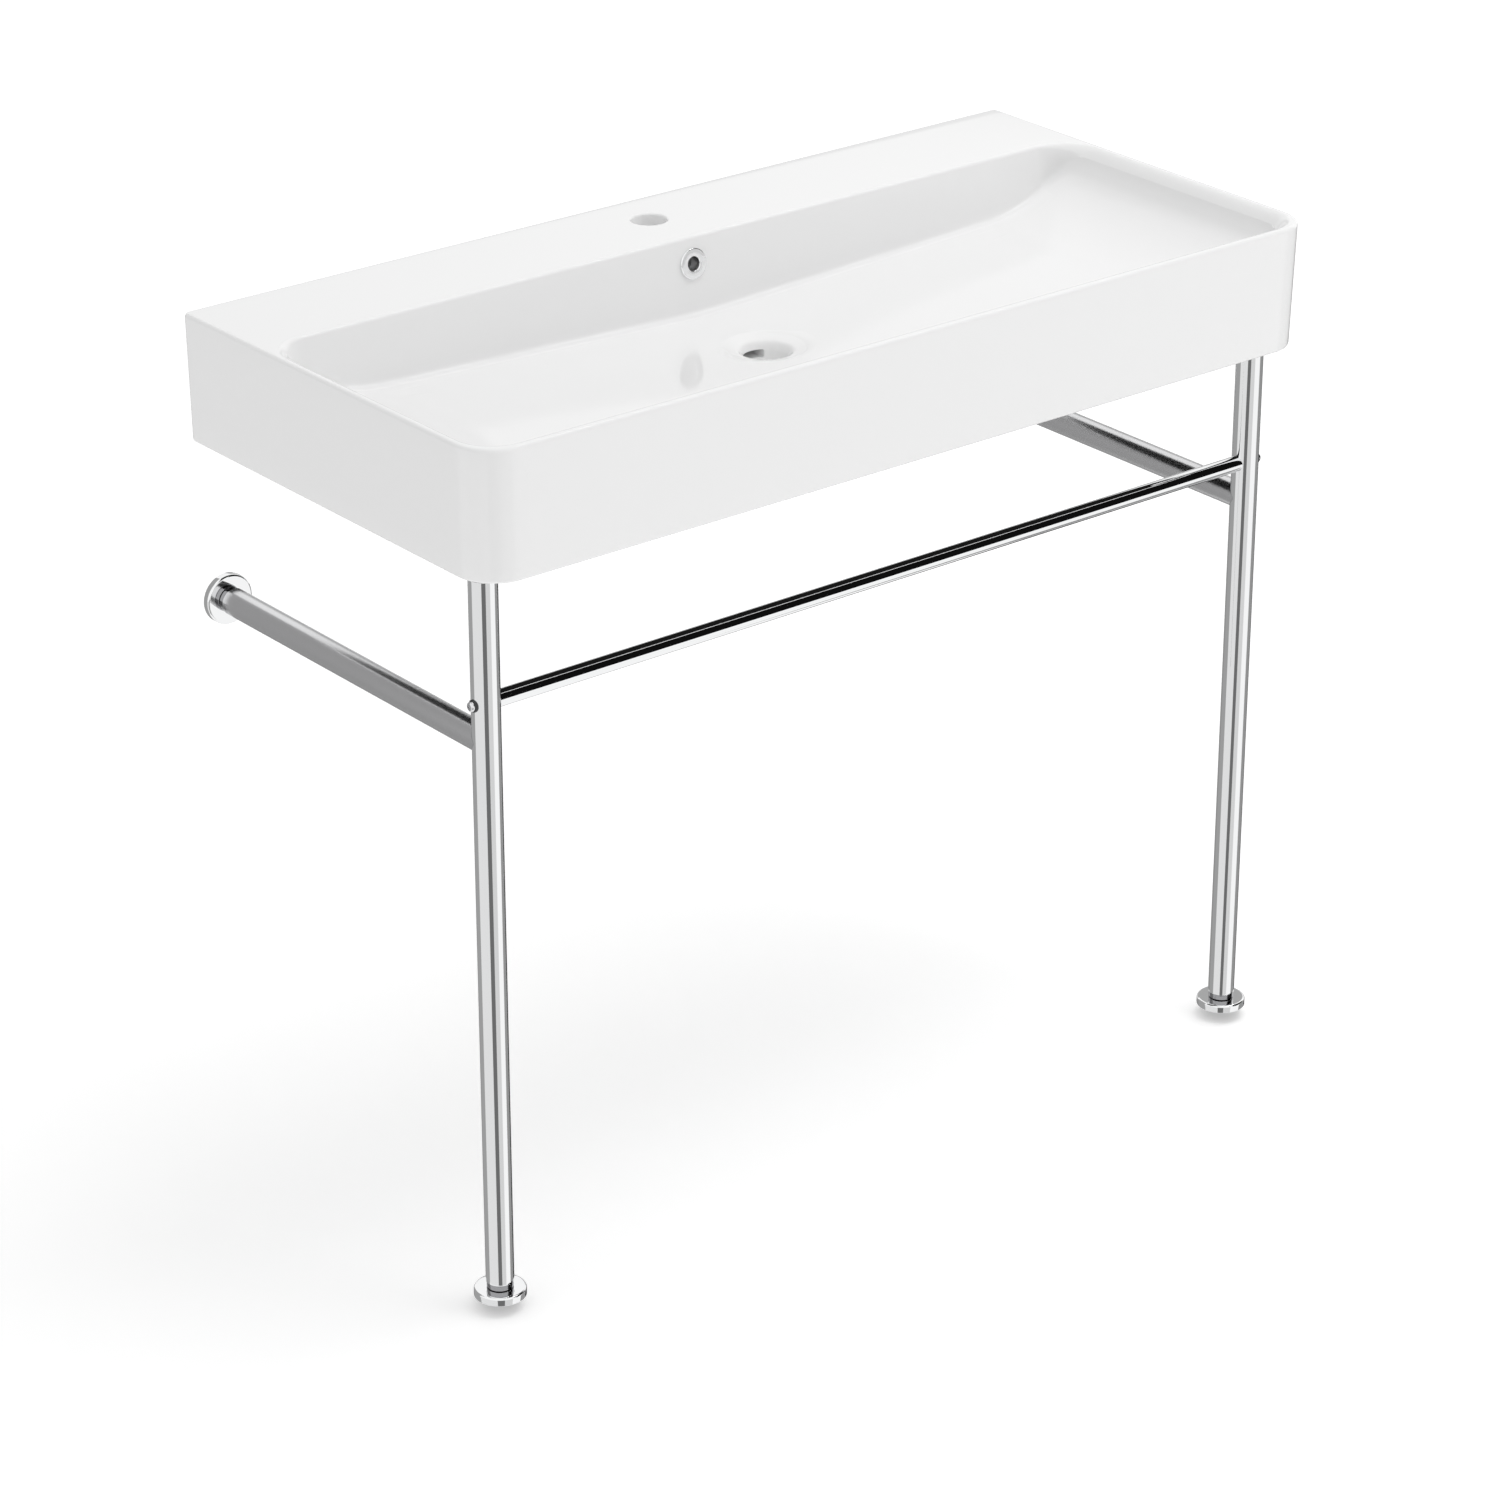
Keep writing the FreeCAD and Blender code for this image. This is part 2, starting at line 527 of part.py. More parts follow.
def build_adjuster(names, x, y, z, angle):
    """A screw-adjusted end: rubber pad, polished disc, stud and the threaded insert with its collar.

    Its own Z runs from the floor or the wall into the tube.
    """
    disc_name, stud_name, pad_name, insert_name = names
    low = "(dims.pad_height - dims.pad_sink)"
    high = "(%s + dims.disc_height)" % low
    pad_radius = "(dims.disc_diameter / 2 - dims.pad_inset)"
    stud_radius = "(dims.stud_diameter / 2)"
    loose_radius = "(%s + dims.fit_gap)" % stud_radius

    rubber = turned_body(pad_name, [("0", "0"), (pad_radius, "0"), (pad_radius, "dims.pad_height"),
                                    ("0", "dims.pad_height")])

    recess_radius = "(%s + dims.fit_gap)" % pad_radius
    disc = turned_body(disc_name, [
        ("0", "(%s + dims.pad_sink)" % low), (recess_radius, "(%s + dims.pad_sink)" % low),
        (recess_radius, low), ("dims.disc_diameter / 2", low), ("dims.disc_diameter / 2", high),
        (loose_radius, high), (loose_radius, "(%s - dims.stud_seat)" % high),
        ("0", "(%s - dims.stud_seat)" % high)])
    rounded(disc, ring_edges(disc, high, "dims.disc_diameter / 2"), "dims.disc_edge", "Chamfer")
    rounded(disc, ring_edges(disc, low, "dims.disc_diameter / 2"), "dims.small_edge", "Chamfer")

    stud_end = "(%s + dims.stud_length)" % high
    stud = turned_body(stud_name, [
        ("0", "(%s - dims.stud_seat)" % high), (stud_radius, "(%s - dims.stud_seat)" % high),
        (stud_radius, stud_end), ("0", stud_end)])
    rounded(stud, ring_edges(stud, stud_end, stud_radius), "dims.small_edge", "Chamfer")

    collar = "(dims.collar_diameter / 2)"
    collar_low = "(%s + dims.disc_gap)" % high
    collar_high = "(%s + dims.collar_height)" % collar_low
    inside = "(%s - dims.fit_gap)" % TUBE_BORE
    insert_end = "(%s + dims.insert_length)" % collar_high
    insert = turned_body(insert_name, [
        (loose_radius, collar_low), (collar, collar_low), (collar, collar_high), (inside, collar_high),
        (inside, insert_end), (loose_radius, insert_end)])
    rounded(insert, ring_edges(insert, collar_low, collar), "dims.small_edge", "Chamfer")

    for body in (rubber, disc, stud, insert):
        place(body, x, y, z, (1, 0, 0), angle)


def build_overflow_ring():
    """Chromed ring on the slope of the bowl's back wall, with its sleeve in the overflow hole."""
    bore, outer = "(dims.ring_bore / 2)", "(dims.ring_diameter / 2)"
    sleeve = "(dims.ring_sleeve / 2)"
    ring = turned_body("overflow_ring", [
        (bore, "-dims.ring_sleeve_length"), (sleeve, "-dims.ring_sleeve_length"), (sleeve, "0"),
        (outer, "0"), (outer, "dims.ring_height"), (bore, "dims.ring_height")])
    edges = ring_edges(ring, "dims.ring_height", outer) + ring_edges(ring, "dims.ring_height", bore)
    rounded(ring, edges, "dims.ring_edge", "Chamfer")
    lean = math.degrees(math.atan2(size("dims.back_slope"), size("dims.floor_depth")))
    wall_y = "-(dims.deck_depth + dims.back_slope * dims.overflow_drop / dims.floor_depth)"
    place(ring, "0", wall_y, "%s - dims.overflow_drop" % RIM, (1, 0, 0), 90 - lean)


# ---------------------------------------------------------------- the stand

def build_leg(side, sign):
    """Front leg: tube, the drilled slug at its joint, the insert at its top and the peg under the basin."""
    x = side_x(sign)
    end = "(%s - %s)" % (LEG_TOP, FLOOR)
    tube = body_named("leg_tube_" + side)
    section = sketch_on(tube, "XY_Plane", "leg_section_" + side, STACK)
    circle(section, "0", "0", "dims.tube_diameter / 2")
    circle(section, "0", "0", TUBE_BORE)
    pad(tube, section, "%s - %s" % (end, STACK))
    screw_hole = sketch_on(tube, "YZ_Plane", "leg_screw_hole_" + side)
    circle(screw_hole, "0", BAR_HEIGHT, "dims.screw_diameter / 2 + dims.hole_slack")
    pocket(tube, screw_hole, "dims.tube_diameter + 2 * dims.cut_margin", midplane=True)
    stud_hole = sketch_on(tube, "XZ_Plane", "leg_stud_hole_" + side)
    circle(stud_hole, "0", "dims.arm_height", "dims.arm_stud_diameter / 2 + dims.hole_slack")
    pocket(tube, stud_hole, "dims.tube_diameter")

    slug = body_named("leg_slug_" + side)
    bar = sketch_on(slug, "XY_Plane", "slug_section_" + side, "dims.arm_height - dims.slug_margin")
    circle(bar, "0", "0", "%s - dims.fit_gap" % TUBE_BORE)
    pad(slug, bar, "dims.bar_rise + 2 * dims.slug_margin")
    across = sketch_on(slug, "YZ_Plane", "slug_screw_hole_" + side)
    circle(across, "0", BAR_HEIGHT, "dims.screw_diameter / 2 + dims.fit_gap")
    pocket(slug, across, "dims.tube_diameter", midplane=True)
    blind = sketch_on(slug, "XZ_Plane", "slug_stud_hole_" + side, "dims.thread_grip / 2")
    circle(blind, "0", "dims.arm_height", "dims.arm_stud_diameter / 2 + dims.fit_gap")
    pocket(slug, blind, "dims.thread_grip / 2 + dims.tube_diameter / 2")

    loose = "(dims.stud_diameter / 2 + dims.fit_gap)"
    flange = "(dims.collar_diameter / 2)"
    inside = "(%s - dims.fit_gap)" % TUBE_BORE
    insert = turned_body("leg_top_insert_" + side, [
        (loose, "(%s - dims.insert_length)" % end), (inside, "(%s - dims.insert_length)" % end),
        (inside, end), (flange, end), (flange, "(%s + dims.top_flange)" % end),
        (loose, "(%s + dims.top_flange)" % end)])

    cushion_top = "(%s - %s + dims.peg_recess_depth)" % (APRON_EDGE, FLOOR)
    head_top = "(%s - dims.cushion_height)" % cushion_top
    head_low = "(%s - dims.peg_head_height)" % head_top
    head, stem = "(dims.peg_head / 2)", "(dims.stud_diameter / 2)"
    stem_end = "(%s - dims.insert_length + dims.small_edge)" % end
    peg = turned_body("support_peg_" + side, [
        ("0", stem_end), (stem, stem_end), (stem, head_low), (head, head_low), (head, head_top),
        ("0", head_top)])
    rounded(peg, ring_edges(peg, head_low, head), "dims.small_edge", "Chamfer")
    cushion = turned_body("support_cushion_" + side, [
        ("0", head_top), (head, head_top), (head, cushion_top), ("0", cushion_top)])
    for body in (tube, slug, insert, peg, cushion):
        place(body, x, LEG_Y, FLOOR)

    names = ["%s_%s" % (name, side) for name in ("foot_disc", "foot_stud", "foot_pad", "leg_bottom_insert")]
    build_adjuster(names, x, LEG_Y, FLOOR, 0)


def build_arm(side, sign):
    """Side arm: a tube cut to a saddle on the leg, held by a stud from its front plug into the slug."""
    x = side_x(sign)
    saddle = "(dims.tube_diameter / 2 + dims.saddle_gap)"
    tube = body_named("side_arm_" + side)
    section = sketch_on(tube, "XZ_Plane", "arm_section_" + side)
    circle(section, "0", "0", "dims.tube_diameter / 2")
    circle(section, "0", "0", TUBE_BORE)
    pad(tube, section, "%s - %s" % (ARM_BACK, LEG_Y), reverse=True)
    mouth = sketch_on(tube, "XY_Plane", "arm_saddle_" + side)
    circle(mouth, "0", "0", saddle)
    pocket(tube, mouth, "dims.tube_diameter + 2 * dims.cut_margin", midplane=True)

    plug_start = "(%s + dims.plug_setback)" % saddle
    plug_end = "(%s + dims.plug_length)" % plug_start
    stud = "(dims.arm_stud_diameter / 2)"
    loose = "(%s + dims.fit_gap)" % stud
    inside = "(%s - dims.fit_gap)" % TUBE_BORE
    plug = turned_body("arm_front_plug_" + side, [
        (loose, plug_start), (inside, plug_start), (inside, plug_end), (loose, plug_end)])
    stud_start = "(dims.small_edge - dims.thread_grip / 2)"
    stud_end = "(%s + dims.thread_grip)" % plug_start
    rod = turned_body("arm_stud_" + side, [
        ("0", stud_start), (stud, stud_start), (stud, stud_end), ("0", stud_end)])
    rounded(rod, ring_edges(rod, stud_start, stud) + ring_edges(rod, stud_end, stud),
            "dims.small_edge", "Chamfer")
    place(tube, x, LEG_Y, ARM_Z)
    for body in (plug, rod):
        place(body, x, LEG_Y, ARM_Z, (1, 0, 0), -90)

    names = ["%s_%s" % (name, side) for name in ("wall_flange", "flange_stud", "flange_pad",
                                                 "arm_rear_insert")]
    build_adjuster(names, x, "0", ARM_Z, 90)


def build_towel_bar():
    """Cross bar between the legs, cut to a saddle at both ends."""
    bar = body_named("towel_bar")
    section = sketch_on(bar, "YZ_Plane", "bar_section", "-%s" % LEG_X)
    circle(section, "0", "0", "dims.bar_diameter / 2")
    circle(section, "0", "0", "dims.bar_diameter / 2 - dims.bar_wall")
    pad(bar, section, "2 * %s" % LEG_X)
    for side, sign in SIDES:
        mouth = sketch_on(bar, "XY_Plane", "bar_saddle_" + side)
        circle(mouth, side_x(sign), "0", "dims.tube_diameter / 2 + dims.saddle_gap")
        pocket(bar, mouth, "dims.bar_diameter + 2 * dims.cut_margin", midplane=True)
    place(bar, "0", LEG_Y, BAR_Z)


def build_bar_fixing(side, sign):
    """Plug in the bar's end, and the pan-head screw with its cup washer on the leg's outer side.

    Their own Z points outwards, away from the bar, and starts at the tube's outermost line.
    """
    crown_x = "(%s + %s * dims.tube_diameter / 2)" % (side_x(sign), sign)
    seat = "dims.washer_height"
    plug_top = "(-dims.tube_diameter - dims.saddle_gap - dims.plug_setback)"
    plug_low = "(%s - dims.plug_length)" % plug_top
    shank = "(dims.screw_diameter / 2)"
    loose = "(%s + dims.fit_gap)" % shank
    plug_radius = "(dims.bar_diameter / 2 - dims.bar_wall - dims.fit_gap)"
    plug = turned_body("bar_plug_" + side, [
        (loose, plug_low), (plug_radius, plug_low), (plug_radius, plug_top), (loose, plug_top)])

    head = "(dims.screw_head / 2)"
    head_top = "(%s + dims.screw_head_height)" % seat
    tip = "(%s - dims.thread_grip)" % plug_top
    screw = turned_body("bar_screw_" + side, [
        ("0", tip), (shank, tip), (shank, seat), (head, seat), (head, head_top), ("0", head_top)])
    rounded(screw, ring_edges(screw, head_top, head), "dims.screw_dome", "Chamfer")
    rounded(screw, ring_edges(screw, tip, shank), "dims.small_edge", "Chamfer")
    cross = sketch_on(screw, "XY_Plane", "cross_recess_" + side, head_top)
    wide, long = "(dims.cross_width / 2)", "(dims.cross_span / 2)"
    outline(cross, [(wide, wide), (wide, long), ("-" + wide, long), ("-" + wide, wide), ("-" + long, wide),
                    ("-" + long, "-" + wide), ("-" + wide, "-" + wide), ("-" + wide, "-" + long),
                    (wide, "-" + long), (wide, "-" + wide), (long, "-" + wide), (long, wide)])
    pocket(screw, cross, "dims.cross_depth")

    rim = "(dims.washer_diameter / 2)"
    skirt = "(-dims.tube_diameter / 2)"
    washer = turned_body("screw_washer_" + side, [
        (loose, skirt), (rim, skirt), (rim, seat), (loose, seat)])
    hollow = sketch_on(washer, "YZ_Plane", "washer_seat_" + side)
    circle(hollow, "0", "-dims.tube_diameter / 2", "dims.tube_diameter / 2 + dims.fit_gap")
    pocket(washer, hollow, "dims.washer_diameter + 2 * dims.cut_margin", midplane=True)
    for body in (plug, screw, washer):
        place(body, crown_x, LEG_Y, BAR_Z, (0, 1, 0), 90 * int(sign))


build_basin()
build_overflow_ring()
build_towel_bar()
for side_name, side_sign in SIDES:
    build_leg(side_name, side_sign)
    build_arm(side_name, side_sign)
    build_bar_fixing(side_name, side_sign)


# ---------------------------------------------------------------- checks and files

doc.recompute()
bodies = [item for item in doc.Objects if item.TypeId == "PartDesign::Body"]
for item in doc.Objects:
    if "Invalid" in item.State or "Error" in item.State:
        raise RuntimeError("%s failed: %s" % (item.Name, item.State))
for item in bodies:
    if item.Shape.isNull() or not item.Shape.isValid():
        raise RuntimeError("%s has no valid shape" % item.Label)
os.makedirs("parts", exist_ok=True)
for item in bodies:
    item.Shape.exportStep("parts/%s.step" % item.Label)
    print("%-24s %9.0f mm3, %d solid(s)" % (item.Label, item.Shape.Volume, len(item.Shape.Solids)))
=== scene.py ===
"""A console sink: white china basin on two chromed legs, tied back to the wall by two arms."""
import math

import bmesh
import bpy
from mathutils import Matrix, Vector


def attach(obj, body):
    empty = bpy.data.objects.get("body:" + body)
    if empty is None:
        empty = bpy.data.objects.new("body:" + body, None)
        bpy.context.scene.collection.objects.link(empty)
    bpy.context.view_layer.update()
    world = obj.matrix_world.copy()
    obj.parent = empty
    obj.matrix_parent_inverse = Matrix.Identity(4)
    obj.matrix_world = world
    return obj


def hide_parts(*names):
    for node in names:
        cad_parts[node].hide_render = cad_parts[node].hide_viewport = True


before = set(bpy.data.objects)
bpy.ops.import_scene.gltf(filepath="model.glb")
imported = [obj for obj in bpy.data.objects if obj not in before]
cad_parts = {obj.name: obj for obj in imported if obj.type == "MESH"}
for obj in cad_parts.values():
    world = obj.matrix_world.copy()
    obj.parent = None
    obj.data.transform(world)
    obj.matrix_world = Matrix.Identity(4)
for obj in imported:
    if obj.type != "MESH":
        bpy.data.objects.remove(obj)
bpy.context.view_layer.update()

# ---------------------------------------------------------------- the china basin
# One casting of vitreous china, hollow below, with a wide shallow bowl whose ends ramp up to the rim.
# It is slip-cast in plaster, sprayed with a clear white glaze and fired; only its back is ground bare.
# It hangs on two wall bolts and rests on the legs at the two pads under its front corners.

RIM_Z = 0.070               # the rim above the wall-bolt axis
APRON_EDGE_Z = -0.057       # lower edge of the aprons
BASIN_HALF = 0.49995        # half the width at the rim
BASIN_FRONT = -0.46995      # the front face
SIDE_DRAFT = 0.0025         # the aprons draw in towards their lower edge
FRONT_CORNER = 0.040        # radii of the outer corners, seen from above
BACK_CORNER = 0.008
RIM_ROUND = 0.004           # rounding of the outer edges, above and below
LOWER_ROUND = 0.003
BOWL_HALF = 0.484           # the bowl's outline at the rim
BOWL_FRONT = -0.454
BOWL_BACK = -0.124
BOWL_FRONT_CORNER = 0.030
BOWL_BACK_CORNER = 0.036
LEAST_CORNER = 0.010        # the bowl's corners stay this round further in
RIM_FALL = 0.011            # width over which the rim falls into the bowl, in front and at the ends
DECK_FALL = 0.0045          # and along the deck, where the edge is crisper
WALL_SLOPE = 7.5            # how steeply the bowl's walls fall
RAMP_LENGTH = 0.130         # each end of the bowl rises over this length
RAMP_DEPTH = 0.0645         # depth of the floor where the ramp starts
CENTRE_DEPTH = 0.0765       # depth of the floor in the middle plane
DRAIN_DEPTH = 0.080         # depth of the floor at the drain
DRAIN_Y = -0.240
COVE = 0.010                # radius between wall and floor
CHINA = 0.012               # wall thickness under the bowl
DECK_WALL = 0.014
APRON_WALL = 0.012
DISH = 0.0415               # radii of the drain's seat, its hole and the boss round it
BORE = 0.0225
BOSS = 0.038
BOSS_END_Z = -0.050
LONG_STEPS, SHORT_STEPS, CORNER_STEPS = 48, 24, 14


def rounded_outline(half, front, back, front_corner, back_corner):
    """Points round a rectangle with rounded corners, always as many and always in the same order."""
    corners = ((half, front, -1, front_corner, -90), (half, back, 1, back_corner, 0),
               (-half, back, 1, back_corner, 90), (-half, front, -1, front_corner, 180))
    points = []
    for number, (x, y, way, radius, start) in enumerate(corners):
        centre = Vector((x - math.copysign(radius, x), y - way * radius))
        for step in range(CORNER_STEPS + 1):
            turn = math.radians(start + 90 * step / CORNER_STEPS)
            points.append(centre + radius * Vector((math.cos(turn), math.sin(turn))))
        following = corners[(number + 1) % 4]
        goal = Vector((following[0] - math.copysign(following[3], following[0]),
                       following[1] - following[2] * following[3]))
        start_turn = math.radians(following[4])
        goal += following[3] * Vector((math.cos(start_turn), math.sin(start_turn)))
        steps = SHORT_STEPS if number % 2 == 0 else LONG_STEPS
        last = points[-1].copy()
        points += [last.lerp(goal, step / steps) for step in range(1, steps)]
    return points


def inside_distance(x, y, grow=0.0):
    """How far a point lies inside the bowl's outline at the rim; the outline may be grown."""
    middle = (BOWL_FRONT + BOWL_BACK) / 2
    radius = (BOWL_BACK_CORNER if y > middle else BOWL_FRONT_CORNER) + grow
    across = abs(x) - (BOWL_HALF + grow - radius)
    along = abs(y - middle) - ((BOWL_BACK - BOWL_FRONT) / 2 + grow - radius)
    outside = math.hypot(max(across, 0), max(along, 0))
    return radius - outside - min(max(across, along), 0)


def floor_depth(x, y):
    """Depth of the bowl's floor: a ramp that curves up at each end, and a slow fall to the drain."""
    start = BOWL_HALF - RAMP_LENGTH
    reach = abs(x)
    if reach > start:
        share = min(1.0, (reach - start) / RAMP_LENGTH)
        return RAMP_DEPTH * math.sqrt(max(0.0, 1 - share * share))
    soft = 0.03                 # share of the run over which the ramp blends into the fall
    along = (start - reach) / start
    blended = along - soft * math.exp(-along / soft) + soft
    depth = RAMP_DEPTH + (CENTRE_DEPTH - RAMP_DEPTH) * min(1.0, blended)
    spread_x, spread_y, steepness = 0.30, 0.15, 2.5
    near_drain = math.hypot(x / spread_x, (y - DRAIN_Y) / spread_y)
    return depth + (DRAIN_DEPTH - CENTRE_DEPTH) * math.exp(-steepness * near_drain * near_drain)


def bowl_depth(x, y, inside):
    """Depth of the bowl at a point: the wall, then a cove into the floor."""
    floor = floor_depth(x, y)
    cove = min(COVE, 0.45 * floor)      # the cove shrinks where the bowl runs out
    hypotenuse = math.hypot(WALL_SLOPE, 1)
    centre = (floor - cove + cove * hypotenuse) / WALL_SLOPE
    if inside >= centre:
        return floor
    on_wall = centre - cove * WALL_SLOPE / hypotenuse
    if inside <= on_wall:
        return WALL_SLOPE * inside
    return floor - cove + math.sqrt(max(0.0, cove * cove - (inside - centre) ** 2))


def outer_ring(z, inset):
    lower = SIDE_DRAFT * (RIM_Z - z) / (RIM_Z - APRON_EDGE_Z)
    ring = rounded_outline(BASIN_HALF - lower - inset, BASIN_FRONT + lower + inset, -inset,
                           FRONT_CORNER - inset, max(BACK_CORNER - inset, 0.001))
    return [Vector((p.x, p.y, z)) for p in ring]


def bowl_ring(inset):
    """The bowl's outline moved inwards; its corners keep some roundness."""
    return rounded_outline(BOWL_HALF - inset, BOWL_FRONT + inset, BOWL_BACK - inset,
                           max(BOWL_FRONT_CORNER - inset, LEAST_CORNER),
                           max(BOWL_BACK_CORNER - inset, LEAST_CORNER))


def circle_ring(like, radius, z):
    """A circle round the drain, its points in line with those of a given ring."""
    ring = []
    for p in like:
        turn = math.atan2(p.y - DRAIN_Y, p.x)
        ring.append(Vector((radius * math.cos(turn), DRAIN_Y + radius * math.sin(turn), z)))
    return ring


rings = []
for step in range(5):                                   # lower edge, from below
    turn = math.radians(90 * step / 4)
    rings.append(outer_ring(APRON_EDGE_Z + LOWER_ROUND * (1 - math.cos(turn)),
                            LOWER_ROUND * (1 - math.sin(turn))))
low_z, high_z = APRON_EDGE_Z + LOWER_ROUND, RIM_Z - RIM_ROUND
rings += [outer_ring(low_z + (high_z - low_z) * step / 8, 0) for step in range(1, 9)]
for step in range(1, 9):                                # rim, outer rounding
    turn = math.radians(90 * step / 8)
    rings.append(outer_ring(RIM_Z - RIM_ROUND * (1 - math.sin(turn)), RIM_ROUND * (1 - math.cos(turn))))
FALL_FROM, FALL_TO = -0.012, 0.003      # the rim's fall lies between these insets of the bowl's outline
RIM_DROP = 0.0075                       # how much deeper the fall goes at the rim than at the deck
FALL_BULGE = 0.0065                     # how full the fall's curve is at the rim
fall_rings = bowl_ring(FALL_FROM), bowl_ring(FALL_TO)


def rim_ring(t):
    """A ring across the rim's fall into the bowl, t = 0…1; the fall is narrower along the deck."""
    ring = []
    for first, last in zip(*fall_rings):
        wide = min(1.0, max(0.0, (BOWL_BACK - last.y - FALL_TO) / BOWL_BACK_CORNER))
        width = DECK_FALL + (RIM_FALL - DECK_FALL) * wide
        depth = DECK_FALL + RIM_DROP * wide
        inset = -width * (1 - t) ** 2 - 2 * t * (1 - t) * FALL_BULGE * wide + t * t * depth / WALL_SLOPE
        p = first.lerp(last, (inset - FALL_FROM) / (FALL_TO - FALL_FROM))
        ring.append(Vector((p.x, p.y, RIM_Z - depth * t * t)))
    return ring


rim_inner = rim_ring(0)
rim_outer = rings[-1]
for step in range(1, 10):                               # rim and deck
    share = step / 10
    rings.append([a.lerp(b, share) for a, b in zip(rim_outer, rim_inner)])
rings += [rim_ring(step / 10) for step in range(11)]     # rim, falling into the bowl
# Rings down the wall lie close together where it turns into the cove and further apart past it.
wall_insets = [0.0008 * step + 0.0022 for step in range(5)] + [0.0060 + 0.0007 * step for step in range(20)]
wall_insets += [0.0205, 0.0235, 0.0275]
for inset in wall_insets:                               # bowl, walls and cove
    rings.append([Vector((p.x, p.y, RIM_Z - bowl_depth(p.x, p.y, inside_distance(p.x, p.y))))
                  for p in bowl_ring(inset)])
last_wall = rings[-1]
dish_edge = circle_ring(last_wall, DISH, 0)
FLOOR_RINGS = 44
CROWDING = 1.25             # draws the floor's rings together near the wall
for step in range(1, FLOOR_RINGS + 1):                  # bowl, ramps and floor
    share = (step / FLOOR_RINGS) ** CROWDING
    ring = []
    for a, b in zip(last_wall, dish_edge):
        x, y = a.x + (b.x - a.x) * share, a.y + (b.y - a.y) * share
        ring.append(Vector((x, y, RIM_Z - bowl_depth(x, y, inside_distance(x, y)))))
    rings.append(ring)
seat_z = RIM_Z - DRAIN_DEPTH
drain_profile = [(0.0398, seat_z + 0.0002), (0.0380, seat_z - 0.0002), (0.0360, seat_z - 0.0008),
                 (0.0338, seat_z - 0.0014), (0.0310, seat_z - 0.0021), (0.0286, seat_z - 0.0028),
                 (0.0270, seat_z - 0.0036), (0.0259, seat_z - 0.0047), (0.0250, seat_z - 0.0060),
                 (0.0242, seat_z - 0.0076), (0.0235, seat_z - 0.0094), (0.0229, seat_z - 0.0113),
                 (BORE, seat_z - 0.0130), (BORE, seat_z - 0.0200), (BORE, BOSS_END_Z + 0.001),
                 (BORE + 0.001, BOSS_END_Z),
                 (BOSS - 0.002, BOSS_END_Z), (BOSS, BOSS_END_Z + 0.002), (BOSS, seat_z - CHINA - 0.004),
                 (BOSS + 0.001, seat_z - CHINA - 0.0015), (BOSS + 0.004, seat_z - CHINA)]
rings += [circle_ring(last_wall, radius, z) for radius, z in drain_profile]


def under_ring(inset):
    """The outside of the bowl, one wall's thickness beyond its inside."""
    clear = 0.0005              # keeps the bowl's outside off the aprons' inside
    side = BASIN_HALF - SIDE_DRAFT - APRON_WALL - clear
    front = BASIN_FRONT + SIDE_DRAFT + APRON_WALL + clear
    front_corner, back_corner = 0.028, 0.030
    ring = rounded_outline(min(BOWL_HALF + CHINA - inset, side), max(BOWL_FRONT - CHINA + inset, front),
                           BOWL_BACK + CHINA - inset, front_corner, back_corner)
    points = []
    for p in ring:
        inside = inside_distance(p.x, p.y, CHINA)
        depth = bowl_depth(p.x * BOWL_HALF / (BOWL_HALF + CHINA), p.y, inside) + CHINA
        points.append(Vector((p.x, p.y, min(RIM_Z - depth, RIM_Z - DECK_WALL))))
    return points


under_insets = [0.044, 0.036, 0.030, 0.025, 0.021, 0.018, 0.0155, 0.0135, 0.012, 0.0105, 0.009, 0.007, 0.005,
                0.003, 0.001, 0.0002]
under_outer = under_ring(under_insets[0])
boss_ring = rings[-1]
for step in range(1, 24):                               # underside of the floor
    share = step / 24
    ring = []
    for a, b in zip(boss_ring, under_outer):
        x, y = a.x + (b.x - a.x) * share, a.y + (b.y - a.y) * share
        ring.append(Vector((x, y, RIM_Z - CHINA - bowl_depth(x, y, inside_distance(x, y, CHINA)))))
    rings.append(ring)
rings += [under_ring(inset) for inset in under_insets]
inner_side = BASIN_HALF - SIDE_DRAFT - APRON_WALL
inner_front = BASIN_FRONT + SIDE_DRAFT + APRON_WALL
inner = rounded_outline(inner_side, inner_front, -APRON_WALL, FRONT_CORNER - APRON_WALL, BACK_CORNER)
ceiling = [Vector((p.x, p.y, q.z)) for p, q in zip(inner, rings[-1])]
rings.append([a.lerp(b, 0.5) for a, b in zip(rings[-1], ceiling)])
rings.append(ceiling)
inner_low = [Vector((p.x, p.y, APRON_EDGE_Z + 0.001)) for p in inner]
rings += [[a.lerp(b, step / 6) for a, b in zip(ceiling, inner_low)] for step in range(1, 7)]
rings.append([Vector((p.x, p.y, APRON_EDGE_Z))
              for p in rounded_outline(inner_side + 0.001, inner_front - 0.001, 0.001 - APRON_WALL,
                                       FRONT_CORNER - APRON_WALL, BACK_CORNER)])


def looped_mesh(name, loops):
    """A closed skin through rings of points; the last ring joins the first."""
    count = len(loops[0])
    vertices = [tuple(p) for loop in loops for p in loop]
    faces = []
    for row in range(len(loops)):
        below, above = row * count, ((row + 1) % len(loops)) * count
        for column in range(count):
            following = (column + 1) % count
            faces.append((below + column, below + following, above + following, above + column))
    mesh = bpy.data.meshes.new(name)
    mesh.from_pydata(vertices, [], faces)
    piece = bpy.data.objects.new(name, mesh)
    bpy.context.scene.collection.objects.link(piece)
    return piece


